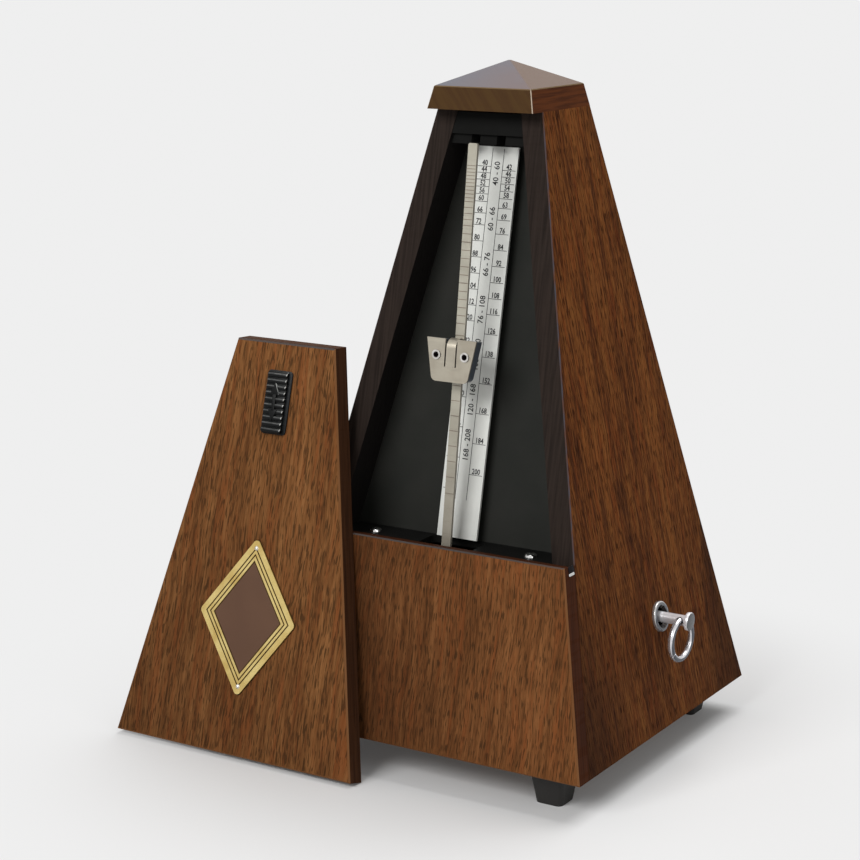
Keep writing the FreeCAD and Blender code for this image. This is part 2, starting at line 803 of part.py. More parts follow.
def pallets():
    """Two flags on the verge, set across each other over the crown wheel."""
    flags = []
    for s in (-1, 1):
        middle = crown_back + s * (crown_radius - crown_wall / 2)
        ring = rod_y(arbor_radius + 0.8, middle - pallet_width / 2, middle + pallet_width / 2)
        flag = box(-pallet_reach, 0, middle - pallet_width / 2, middle + pallet_width / 2,
                   -pallet_thick / 2, pallet_thick / 2)
        flag.rotate(V(), V(0, 1, 0), 45 * s)
        flag = ring.fuse(flag).cut(rod_y(arbor_radius + fixed_gap, 0, 90))
        flags.append(flag.removeSplitter())
    return moved(group(flags), VERGE)


# ---- Movement -------------------------------------------------------------------------------
def crown_centre():
    """Centre of the crown wheel, on the verge's line."""
    return PIVOT + V(0, crown_back * math.cos(released_lean), -crown_back * math.sin(released_lean))


def second_centre():
    """Centre of the second wheel: the point that meshes with both its neighbours."""
    crown = crown_centre()
    first = module * (great_teeth + pinion_teeth) / 2
    last = module * (second_teeth + pinion_teeth) / 2
    dy = crown.y - winding_y
    dz = crown.z - winding_z
    apart = math.hypot(dy, dz)
    along = (first ** 2 - last ** 2 + apart ** 2) / (2 * apart)
    aside = math.sqrt(first ** 2 - along ** 2)
    uy = dy / apart
    uz = dz / apart
    return V(0, winding_y + uy * along + uz * aside * second_side,
             winding_z + uz * along - uy * aside * second_side)


def angle_between(start, end):
    """Direction from one arbor to another, from +Y to +Z."""
    return math.atan2(end.z - start.z, end.y - start.y)


WINDING = V(0, winding_y, winding_z)
CROWN = crown_centre()
SECOND = second_centre()
pinion_step = 2 * math.pi / pinion_teeth


def movement_plate(sign):
    """Movement plate with a flange that stands on the base board."""
    inner = sign * frame_half
    outer = sign * (frame_half + frame_thick)
    x_low, x_high = min(inner, outer), max(inner, outer)
    wallplate = box(x_low, x_high, frame_front, frame_rear, floor_thick, frame_high)
    tops = [e for e in wallplate.Edges
            if abs(e.tangentAt(0).x) > 0.9 and e.CenterOfMass.z > frame_high - 0.1]
    wallplate = wallplate.makeFillet(frame_corner, tops)
    far = sign * (frame_half + frame_flange)
    flange = box(min(inner, far), max(inner, far), frame_front, frame_rear,
                 floor_thick, floor_thick + frame_thick)
    plate = wallplate.fuse(flange)
    holes = [rod_x(winding_radius + running_gap, -reach, reach, winding_y, winding_z)]
    holes += [rod_x(pillar_screw + 0.05, -reach, reach, y, z) for y, z in pillar_places]
    holes.append(rod_x(arbor_radius + running_gap, -reach, reach, SECOND.y, SECOND.z))
    if sign < 0:
        holes.append(rod_x(arbor_radius + running_gap, -reach, reach, CROWN.y, CROWN.z))
        holes += [rod_x(pillar_screw + 0.05, -reach, reach, p.y, p.z) for p in escape_pillar_places()]
        holes.append(rod_x(pillar_screw + 0.05, -reach, reach, winding_y + post_reach, winding_z))
    holes += [rod_z(screw_shank + 0.1, 0, 20, x, y) for x, y in flange_screw_places(sign)]
    return plate.cut(holes).removeSplitter()


def flange_screw_places(sign):
    """Screws that hold one plate's flange to the base board."""
    x = sign * (frame_half + frame_flange - flange_screw_in)
    return [(x, y) for y in (frame_front + flange_screw_end, frame_rear - flange_screw_end)]


def movement_screws():
    """Four screws through the flanges into the base board."""
    length = frame_thick + flange_screw_depth
    screws = [screw_z(x, y, floor_thick + frame_thick, length, screw_shank, 2.8, 1.4)
              for s in (-1, 1) for x, y in flange_screw_places(s)]
    return group(screws)


def movement_pillars():
    """Four turned pillars between the plates, with screwed ends."""
    shapes = []
    end = frame_half + frame_thick + nut_thick + 0.6
    shoulder = frame_half - pillar_shoulder
    for y, z in pillar_places:
        pieces = [rod_x(pillar_radius - pillar_waist, -shoulder, shoulder, y, z),
                  rod_x(pillar_radius, -frame_half, -shoulder, y, z),
                  rod_x(pillar_radius, shoulder, frame_half, y, z),
                  rod_x(pillar_screw, -end, end, y, z)]
        shapes.append(pieces[0].fuse(pieces[1:]).removeSplitter())
    return shapes


def hexagon(across, x_low, x_high, y, z, bore):
    """Hexagon nut along X."""
    radius = across / math.sqrt(3)
    points = [V(x_low, y, z) + polar(radius, math.radians(60 * n)) for n in range(6)]
    return prism(points, V(x_high - x_low, 0, 0)).cut(rod_x(bore, x_low - 1, x_high + 1, y, z))


def pillar_nuts():
    """Nuts outside the plates."""
    nuts = []
    for y, z in pillar_places:
        for s in (-1, 1):
            near = s * (frame_half + frame_thick)
            far = s * (frame_half + frame_thick + nut_thick)
            nuts.append(hexagon(nut_across, min(near, far), max(near, far), y, z, pillar_screw + fixed_gap))
    return group(nuts)


def front_bridge():
    """Bridge across the plates with the front bearing of the verge."""
    bar = box(-frame_half, frame_half, front_bridge_y, front_bridge_y + bridge_thick,
              -bridge_half, bridge_half)
    return moved(bar.cut(rod_y(bush_radius + fixed_gap, 0, 90)), VERGE)


def rear_cock():
    """Cock from the left plate with the rear bearing of the verge."""
    bar = box(-frame_half, cock_end, rear_cock_y, rear_cock_y + bridge_thick, -cock_half, cock_half)
    ends = [e for e in bar.Edges if abs(e.tangentAt(0).y) > 0.9 and e.CenterOfMass.x > 0]
    bar = bar.makeFillet(cock_half - 0.4, ends)
    return moved(bar.cut(rod_y(bush_radius + fixed_gap, 0, 90)), VERGE)


def verge_bushes():
    """Brass bushes of the verge, one in the bridge and one in the cock."""
    bushes = []
    for y in (front_bridge_y, rear_cock_y):
        bush = rod_y(bush_radius, y, y + bridge_thick + 0.5)
        bushes.append(bush.cut(rod_y(arbor_radius + running_gap, 0, 90)))
    return moved(group(bushes), VERGE)


def escape_pillar_places():
    """Two posts beside the crown wheel's arbor, clear of the second wheel."""
    away = CROWN - SECOND
    away.normalize()
    aside = V(0, -away.z, away.y)
    return [CROWN + aside * s * escape_aside + away * escape_away for s in (1, -1)]


def escape_bridge():
    """Small bridge with the inner bearing of the crown wheel."""
    first, last = escape_pillar_places()
    end = escape_x + escape_thick
    shapes = [rod_x(escape_half, escape_x, end, p.y, p.z) for p in (first, last, CROWN)]
    bar = Part.makeBox(escape_thick, (last - first).Length, 2 * escape_half, V(escape_x, 0, -escape_half))
    bar.rotate(V(), V(1, 0, 0), math.degrees(angle_between(first, last)))
    bar.translate(V(0, first.y, first.z))
    plate = shapes[0].fuse(shapes[1:] + [bar])
    holes = [rod_x(pillar_screw + 0.05, -reach, reach, p.y, p.z) for p in (first, last)]
    holes.append(rod_x(arbor_radius + running_gap, -reach, reach, CROWN.y, CROWN.z))
    return plate.cut(holes).removeSplitter()


def escape_pillars():
    """Posts of the escape bridge."""
    posts = []
    for p in escape_pillar_places():
        post = rod_x(escape_post, -frame_half, escape_x, p.y, p.z)
        ends = rod_x(pillar_screw, -frame_half - frame_thick, escape_x + escape_thick + 0.4, p.y, p.z)
        posts.append(post.fuse(ends).removeSplitter())
    return posts


def spring_post():
    """Post that holds the outer end of the mainspring."""
    y = winding_y + post_reach
    post = rod_x(post_radius, -frame_half, spring_x + spring_width, y, winding_z)
    return post.fuse(rod_x(pillar_screw, -frame_half - frame_thick, 0, y, winding_z)).removeSplitter()


def half_ring(radius, centre_z, upward):
    """Half of a thin ring of spring strip, about a centre on the Z line."""
    sign = 1 if upward else -1
    inner = radius - spring_strip / 2
    outer = radius + spring_strip / 2
    x = spring_x
    wire = Part.Wire([
        Part.Arc(V(x, 0, centre_z - outer), V(x, sign * outer, centre_z),
                 V(x, 0, centre_z + outer)).toShape(),
        Part.LineSegment(V(x, 0, centre_z + outer), V(x, 0, centre_z + inner)).toShape(),
        Part.Arc(V(x, 0, centre_z + inner), V(x, sign * inner, centre_z),
                 V(x, 0, centre_z - inner)).toShape(),
        Part.LineSegment(V(x, 0, centre_z - inner), V(x, 0, centre_z - outer)).toShape()])
    return Part.Face(wire).extrude(V(spring_width, 0, 0))


def mainspring():
    """Spiral spring of half-turns whose centres step from side to side, ending at its post."""
    halves = []
    radius = spring_inner
    for index in range(2 * spring_turns + 1):
        upward = index % 2 == 1
        centre = spring_pitch / 4 * (-1 if upward else 1)
        halves.append(half_ring(radius, centre, upward))
        radius += spring_pitch / 2
    spiral = halves[0].fuse(halves[1:]).removeSplitter()
    hook = box(spring_x, spring_x + spring_width, winding_radius + 0.15, spring_inner + spring_strip,
               spring_pitch / 4 - spring_strip / 2, spring_pitch / 4 + spring_strip / 2)
    return at_yz(spiral.fuse(hook).removeSplitter(), winding_y, winding_z)


def great_wheel():
    """Great wheel, free on the winding arbor, with arms."""
    end = great_x + great_thick
    rim = great_teeth * module / 2 - great_rim
    wheel = toothed(great_teeth, great_x, end, angle_between(WINDING, SECOND))
    wheel = wheel.cut(crossed_out(great_hub, rim, great_arms, great_x, end))
    wheel = wheel.cut(rod_x(winding_radius + running_gap, 0, 30))
    seat = polar(click_arm, click_angle)
    boss = rod_x(2.4, great_x, end, seat.y, seat.z)
    hole = rod_x(click_pin + fixed_gap, 0, 30, seat.y, seat.z)
    return at_yz(wheel.fuse(boss).cut(hole).removeSplitter(), winding_y, winding_z)


def ratchet_wheel():
    """Ratchet wheel, square on the winding arbor."""
    step = 2 * math.pi / ratchet_teeth
    root = ratchet_radius - 1.4
    points = []
    for index in range(ratchet_teeth):
        angle = ratchet_phase + index * step
        points.append(polar(ratchet_radius, angle, click_x))
        points.append(polar(root, angle + 0.02, click_x))
    blank = prism(points, V(click_thick, 0, 0))
    wheel = blank.cut(rod_x(winding_radius + fixed_gap, 0, 30))
    return at_yz(wheel, winding_y, winding_z)


def click():
    """Click: a hooked pawl on the great wheel, its nose behind a ratchet tooth."""
    seat = polar(click_arm, click_angle, click_x)
    nose = polar(ratchet_radius - 0.9, ratchet_phase + 0.05, click_x)
    brow = polar(ratchet_radius + 1.3, ratchet_phase + 0.17, click_x)
    back = polar(ratchet_radius + 2.2, ratchet_phase + 0.02, click_x)
    under = polar(ratchet_radius + 0.3, ratchet_phase + 0.045, click_x)
    along = seat - under
    along.normalize()
    aside = V(0, -along.z, along.y)
    if aside.dot(seat) < 0:
        aside = aside * -1
    pawl = prism([nose, brow, back, seat + aside * 1.8, seat - aside * 1.8, under],
                 V(click_thick, 0, 0))
    pawl = pawl.fuse(rod_x(1.9, click_x, click_x + click_thick, seat.y, seat.z))
    pawl = pawl.cut(rod_x(click_pin + running_gap, 0, 30, seat.y, seat.z))
    return at_yz(pawl.removeSplitter(), winding_y, winding_z)


def click_spring():
    """Thin leaf on the great wheel that keeps the click down."""
    foot = polar(click_arm, click_angle + math.radians(78))
    block = rod_x(1.6, great_x + great_thick, click_x + click_thick, foot.y, foot.z)
    tip = polar(ratchet_radius + 3.75, ratchet_phase - math.radians(2))
    length = math.hypot(tip.y - foot.y, tip.z - foot.z)
    leaf = Part.makeBox(click_thick - 0.4, length, 0.35, V(click_x + 0.2, 0, -0.175))
    leaf.rotate(V(), V(1, 0, 0), math.degrees(math.atan2(tip.z - foot.z, tip.y - foot.y)))
    leaf.translate(V(0, foot.y, foot.z))
    return at_yz(block.fuse(leaf).removeSplitter(), winding_y, winding_z)


def click_screw():
    """Shouldered screw the click turns on."""
    seat = polar(click_arm, click_angle)
    pin = rod_x(click_pin, great_x + 0.4, click_x + click_thick + 0.1, seat.y, seat.z)
    head = rod_x(1.8, click_x + click_thick + 0.1, click_x + click_thick + 1.0, seat.y, seat.z)
    return at_yz(pin.fuse(head).removeSplitter(), winding_y, winding_z)


def winding_arbor():
    """Winding arbor with its square end."""
    turned = rod_x(winding_radius, -frame_half - frame_thick - 0.6, winding_end, winding_y, winding_z)
    half = key_square / 2
    square = box(winding_end - 1, square_end, winding_y - half, winding_y + half,
                 winding_z - half, winding_z + half)
    return turned.fuse(square).removeSplitter()


def winding_key():
    """Key: a round stem with a socket, a cross hole for the ring and a flat round head."""
    stem = rod_x(key_socket_radius, key_start, key_socket_end)
    stem = stem.fuse(rod_x(key_radius, key_socket_end - 1, key_end - key_head_thick / 2))
    head = rod_x(key_head_radius, key_end - key_head_thick, key_end)
    rims = [e for e in head.Edges if e.Curve.TypeId == "Part::GeomCircle"]
    head = head.makeFillet(0.45, rims)
    half = key_square / 2 + running_gap
    socket = box(key_start - 1, key_start + key_socket_deep, -half, half, -half, half)
    key = stem.fuse(head).cut([socket, rod_y(ring_hole, -9, 9, ring_x, 0)])
    return at_yz(key.removeSplitter(), winding_y, winding_z)


def key_ring():
    """Loose ring, hanging through the key's cross hole."""
    middle = V(ring_x, winding_y, winding_z - ring_radius + ring_lift)
    return Part.makeTorus(ring_radius, ring_wire, middle, V(1, 0, 0))


def key_escutcheon():
    """Dished ring let into the right side panel around the key, square to the panel."""
    cup = rod_z(escutcheon_radius, -escutcheon_deep, escutcheon_proud)
    rims = [e for e in cup.Edges if e.Curve.TypeId == "Part::GeomCircle" and e.CenterOfMass.z > 0]
    cup = cup.makeFillet(escutcheon_rim, rims)
    dish = Part.makeCone(escutcheon_hole, escutcheon_hole + escutcheon_dish, escutcheon_dish,
                         V(0, 0, escutcheon_proud - escutcheon_dish))
    hole = rod_z(escutcheon_hole, -escutcheon_deep - 1, escutcheon_proud - escutcheon_dish)
    return moved(cup.cut(dish.fuse(hole)), KEY_SEAT)


def key_way():
    """Hole and seat in the right side panel for the escutcheon and the key."""
    seat = rod_z(escutcheon_radius + fixed_gap, -escutcheon_deep - fixed_gap, wall)
    return moved(seat, KEY_SEAT).fuse(rod_x(key_hole, winding_end - 9, key_end + 9, winding_y, winding_z))


def second_arbor():
    """Arbor and pinion of the second wheel."""
    shaft = rod_x(arbor_radius, -frame_half - frame_thick, frame_half + frame_thick, 0, 0)
    gap_to_great = angle_between(SECOND, WINDING) + pinion_step / 2
    pinion = toothed(pinion_teeth, second_pinion_x, second_pinion_end, gap_to_great)
    return at_yz(shaft.fuse(pinion).removeSplitter(), SECOND.y, SECOND.z)


def second_wheel():
    """Second wheel with its collet."""
    end = second_x + second_thick
    rim = second_teeth * module / 2 - second_rim
    wheel = toothed(second_teeth, second_x, end, angle_between(SECOND, CROWN))
    wheel = wheel.cut(crossed_out(second_hub, rim, second_arms, second_x, end))
    wheel = wheel.fuse(rod_x(collet_radius, second_x, end + collet_length))
    wheel = wheel.cut(rod_x(arbor_radius + fixed_gap, -reach, reach))
    return at_yz(wheel.removeSplitter(), SECOND.y, SECOND.z)


def crown_arbor():
    """Arbor and pinion of the crown wheel."""
    shaft = rod_x(arbor_radius, -frame_half - frame_thick, -crown_clear - crown_depth + 1.6)
    gap_to_second = angle_between(CROWN, SECOND) + pinion_step / 2
    pinion = toothed(pinion_teeth, crown_pinion_x, crown_pinion_end, gap_to_second)
    return at_yz(shaft.fuse(pinion).removeSplitter(), CROWN.y, CROWN.z)


def crown_wheel():
    """Crown wheel: a cup whose rim is cut into pointed teeth facing the verge."""
    rim_x = -crown_clear
    back_x = rim_x - crown_depth
    inner = crown_radius - crown_wall
    cup = rod_x(crown_radius, back_x, rim_x).cut(rod_x(inner, back_x + crown_wall, rim_x + 1))
    step = 2 * math.pi / crown_teeth
    wide = crown_radius * step
    near = inner - 2
    profile = [V(rim_x + 1, near, -wide * 0.46), V(rim_x - crown_tooth, near, wide * 0.30),
               V(rim_x - crown_tooth, near, wide * 0.40), V(rim_x + 1, near, wide * 0.44)]
    notches = []
    for index in range(crown_teeth):
        notch = prism(profile, V(0, 6, 0))
        notch.rotate(V(), V(1, 0, 0), math.degrees(index * step))
        notches.append(notch)
    cup = cup.cut(notches)
    cup = cup.cut(crossed_out(3.0, inner - 1.2, crown_arms, back_x - 1, back_x + 1.2))
    cup = cup.fuse(rod_x(collet_radius, back_x - 1.6, back_x + crown_wall))
    cup = cup.cut(rod_x(arbor_radius + fixed_gap, -reach, reach))
    return at_yz(cup.removeSplitter(), CROWN.y, CROWN.z)


# ---- Cover (drawn in place, then stood on the floor) ----------------------------------------
def stood(shape):
    """Carry a shape drawn in cover coordinates (x, depth, up the slope) to where the cover leans."""
    return moved(moved(shape, FLAT_COVER), LEANED)


def cover_panel():
    """Removable cover, cleared inside for the weight and slotted for the catch."""
    whole = moved(outer_body(), FRONT.inverse())
    panel = whole.common(box(-reach, reach, 0, front_thick, cover_low, 2 * reach))
    edges = []
    for edge in panel.Edges:
        if all(abs(vertex.Point.y) < 0.001 for vertex in edge.Vertexes):
            edges.append(edge)
    panel = panel.makeChamfer(edge_bevel, edges)
    low = cover_low + route_edge
    high = on_slope(rest_low, front_thick) - 1.0
    side = half_base - wall_across - route_side
    low_half = side - slope * lean_cos * low
    high_half = side - slope * lean_cos * high
    depth = front_thick - cover_route
    route = prism([V(-low_half, depth, low), V(low_half, depth, low), V(high_half, depth, high),
                   V(-high_half, depth, high)], V(0, front_thick, 0))
    uprights = [e for e in route.Edges if abs(e.tangentAt(0).y) > 0.9]
    route = route.makeFillet(route_corner, uprights)
    slot = box(-catch_stem - 0.1, catch_stem + 0.1, -1, front_thick + 1,
               catch_stem_low - catch_travel - 0.2, catch_stem_high + 0.2)
    sink = badge_outline(-0.15, -1, badge_sink, badge_corner)
    nails = [rod_y(nail_shank + fixed_gap, -2, 3, 0, s) for s in nail_places()]
    return stood(panel.cut([route, slot, sink] + nails))


def badge_outline(inset, depth_low, depth_high, corner):
    """Upright lozenge, its sides moved inwards, with round corners."""
    across = badge_width / 2
    up = badge_height / 2
    side = math.hypot(across, up)
    wide = across - inset * side / up
    tall = up - inset * side / across
    blank = prism([V(-wide, depth_low, badge_along), V(0, depth_low, badge_along - tall),
                   V(wide, depth_low, badge_along), V(0, depth_low, badge_along + tall)],
                  V(0, depth_high - depth_low, 0))
    corners = [e for e in blank.Edges if abs(e.tangentAt(0).y) > 0.9]
    return blank.makeFillet(corner, corners)


def nail_places():
    """Centres of the badge's two nails, up the slope."""
    inset = badge_height / 2 - nail_inset
    return [badge_along - inset, badge_along + inset]


def badge_plate():
    """Brass lozenge, sunk in the veneer by a hair, with two engraved lines round its field."""
    face = badge_sink - badge_thick
    plate = badge_outline(0, face, badge_sink - fixed_gap, badge_corner)
    cuts = [badge_outline(badge_field, face - 1, face + badge_field_deep, badge_line_corner)]
    for line in badge_lines:
        groove = badge_outline(line, face - 1, face + badge_line_deep, badge_line_corner)
        core = badge_outline(line + badge_line_wide, face - 2, face + 1, badge_line_corner)
        cuts.append(groove.cut(core))
    cuts += [rod_y(nail_shank + fixed_gap, -3, 3, 0, s) for s in nail_places()]
    return stood(plate.cut(cuts))


def badge_enamel():
    """Enamel in the field of the badge."""
    face = badge_sink - badge_thick
    return stood(badge_outline(badge_field + fixed_gap, face + running_gap,
                               face + badge_field_deep - fixed_gap, badge_line_corner))


def badge_nails():
    """Two round-head nails."""
    nails = []
    face = badge_sink - badge_thick
    for s in nail_places():
        head = Part.makeSphere(nail_radius * 1.2, V(0, face + nail_radius * 0.7, s))
        head = head.common(rod_y(nail_radius, face - 3, face, 0, s))
        nails.append(head.fuse(rod_y(nail_shank, face - 0.1, 2.9, 0, s)).removeSplitter())
    return stood(group(nails))


def double_arrow(depth_low, depth_high):
    """Arrow that points both ways along the catch."""
    middle = (catch_low + catch_high) / 2
    half = [(0, arrow_half), (arrow_wide, arrow_half - arrow_head), (arrow_stem, arrow_half - arrow_head)]
    right = half + [(x, -z) for x, z in reversed(half)]
    left = [(-x, z) for x, z in reversed(right) if x > 0]
    return prism([V(x, depth_low, middle + z) for x, z in right + left], V(0, depth_high - depth_low, 0))


def catch_slider():
    """Ribbed catch: a flange and a raised thumb piece on a stem through the cover."""
    flange = box(-catch_flange, catch_flange, -catch_base, -running_gap, catch_low, catch_high)
    uprights = [e for e in flange.Edges if abs(e.tangentAt(0).y) > 0.9]
    flange = flange.makeFillet(1.2, uprights)
    low = catch_low + catch_edge
    high = catch_high - catch_edge
    body = box(-catch_body, catch_body, -catch_proud, -catch_base, low, high)
    body = body.makeFillet(0.5, [e for e in body.Edges if e.CenterOfMass.y < -catch_proud + 0.01])
    floor = -catch_proud + catch_rib_deep
    pitch = (high - low) / catch_ribs
    grooves = [box(-reach, reach, -catch_proud - 1, floor, low + pitch * (n + 1 - catch_rib_gap),
                   low + pitch * (n + 1)) for n in range(catch_ribs - 1)]
    arrow = double_arrow(-catch_proud - arrow_proud, floor)
    stem = box(-catch_stem, catch_stem, -catch_base, front_thick - cover_route + 0.1,
               catch_stem_low, catch_stem_high)
    stem = stem.cut(rod_y(0.82, 0, 9, 0, (catch_stem_low + catch_stem_high) / 2))
    return stood(flange.fuse([body.cut(grooves), arrow, stem]).removeSplitter())


def catch_hook():
    """Inner plate of the catch, with two prongs that grip behind the crossbar."""
    near = front_thick - cover_route + 0.1
    far = near + hook_thick
    plate = box(-hook_half, hook_half, near + fixed_gap, far, catch_stem_low - 2.5, catch_stem_high + 1.0)
    prongs = []
    low = catch_stem_high - 2.0
    for s in (-1, 1):
        x = s * (rest_tab / 2 + rest_slot / 2)
        sides = (x - prong_half, x + prong_half)
        prongs.append(box(*sides, near + 0.2, prong_end, low, catch_stem_high + 1.0))
        prongs.append(box(*sides, prong_end - 1.3, prong_end, low, catch_stem_high + 4.2))
    hole = rod_y(0.9, 0, 20, 0, (catch_stem_low + catch_stem_high) / 2)
    return stood(plate.fuse(prongs).cut(hole).removeSplitter())


def catch_screw():
    """Screw that joins the hook plate to the catch."""
    near = front_thick - cover_route + 0.1 + hook_thick
    s = (catch_stem_low + catch_stem_high) / 2
    screw = rod_y(0.8, 1.0, near + 0.1, 0, s).fuse(rod_y(1.7, near, near + 0.9, 0, s))
    return stood(screw.removeSplitter())


# ---- Write every node -----------------------------------------------------------------------
right_panel = side_panel(1).cut(key_way())
save("side_panel_left", side_panel(-1))
save("side_panel_right", right_panel)
save("back_panel", back_panel())
save("base_board", base_board())
save("lower_front_panel", lower_front_panel())
save("top_block", top_block())
save("roof_cap", roof_cap())
for place_name, (fx, fy) in zip(("front_left", "front_right", "rear_left", "rear_right"), foot_places()):
    save("foot_" + place_name, foot(fx, fy))
save("foot_screws", group([foot_screw(x, y) for x, y in foot_places()]))
save("backboard", backboard())
save("shelf", shelf())
save("shelf_brackets", shelf_brackets())
save("shelf_screws", group([shelf_screw(x, y) for x, y in shelf_screw_places()]))
save("pendulum_rest", pendulum_rest())
save("scale_carrier", scale_carrier())
save("tempo_scale", tempo_scale())
save("pendulum_rod", pendulum_rod())
save("weight_face", weight_face())
save("weight_body", weight_body())
save("weight_rivets", weight_rivets())
save("weight_tongue", weight_tongue())
save("pendulum_hub", pendulum_hub())
save("counterweight", counterweight())
save("verge_arbor", verge_arbor())
save("pallets", pallets())
save("rod_screws", rod_screws())
save("movement_plate_left", movement_plate(-1))
save("movement_plate_right", movement_plate(1))
save("movement_screws", movement_screws())
save("movement_pillars", group(movement_pillars() + escape_pillars() + [spring_post()]))
save("pillar_nuts", pillar_nuts())
save("front_bridge", front_bridge())
save("rear_cock", rear_cock())
save("verge_bushes", verge_bushes())
save("escape_bridge", escape_bridge())
save("mainspring", mainspring())
save("great_wheel", great_wheel())
save("ratchet_wheel", ratchet_wheel())
save("click", click())
save("click_screw", click_screw())
save("click_spring", click_spring())
save("winding_arbor", winding_arbor())
save("winding_key", winding_key())
save("key_ring", key_ring())
save("key_escutcheon", key_escutcheon())
save("second_arbor", second_arbor())
save("second_wheel", second_wheel())
save("crown_arbor", crown_arbor())
save("crown_wheel", crown_wheel())
save("cover_panel", cover_panel())
save("badge_plate", badge_plate())
save("badge_enamel", badge_enamel())
save("badge_nails", badge_nails())
save("catch_slider", catch_slider())
save("catch_hook", catch_hook())
save("catch_screw", catch_screw())
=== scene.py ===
"""Looks of a pyramid metronome: walnut case, dark recess, silver scale, nickel rod, brass badge.

The construction is loaded as a fixed frame, in metres, +Z up. This file dresses its parts, makes
the key, its ring, the catch, two screws and the printed and cut marks, and sets the stage, the
lights and the camera.
"""

import json
import logging
import math
from dataclasses import dataclass
from enum import Enum
from typing import Iterable, Sequence, Union

import bpy
from mathutils import Matrix, Vector


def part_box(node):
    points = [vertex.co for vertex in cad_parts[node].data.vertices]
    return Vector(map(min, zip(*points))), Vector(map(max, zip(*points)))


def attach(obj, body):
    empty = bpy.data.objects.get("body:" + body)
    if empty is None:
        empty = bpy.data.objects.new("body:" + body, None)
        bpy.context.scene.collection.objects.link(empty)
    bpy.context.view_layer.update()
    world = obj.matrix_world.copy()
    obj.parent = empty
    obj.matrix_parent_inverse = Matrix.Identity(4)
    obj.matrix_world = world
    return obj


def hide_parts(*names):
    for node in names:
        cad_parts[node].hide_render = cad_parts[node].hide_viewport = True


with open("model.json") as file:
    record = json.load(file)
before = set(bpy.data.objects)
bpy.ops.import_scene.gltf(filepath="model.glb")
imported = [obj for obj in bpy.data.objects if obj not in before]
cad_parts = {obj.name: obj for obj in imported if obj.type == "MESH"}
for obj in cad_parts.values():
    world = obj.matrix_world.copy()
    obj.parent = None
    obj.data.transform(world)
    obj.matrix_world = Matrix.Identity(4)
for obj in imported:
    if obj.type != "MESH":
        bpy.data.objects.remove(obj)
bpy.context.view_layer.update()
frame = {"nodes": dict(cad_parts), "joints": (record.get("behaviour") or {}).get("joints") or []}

LOG = logging.getLogger("metronome")
MM = 0.001
Rgba = tuple[float, float, float, float]
Socket = bpy.types.NodeSocket
Feed = Union[Socket, float, Sequence[float]]


def srgb(red: float, green: float, blue: float) -> Rgba:
    """Turn a colour as it is seen, 0 to 255, into the linear one that a shader takes.

    Args:
        red: Red, 0 to 255.
        green: Green, 0 to 255.
        blue: Blue, 0 to 255.

    Returns:
        The linear colour with full alpha.
    """
    shares = [channel / 255 for channel in (red, green, blue)]
    linear = [s / 12.92 if s <= 0.04045 else ((s + 0.055) / 1.055) ** 2.4 for s in shares]
    return (linear[0], linear[1], linear[2], 1.0)


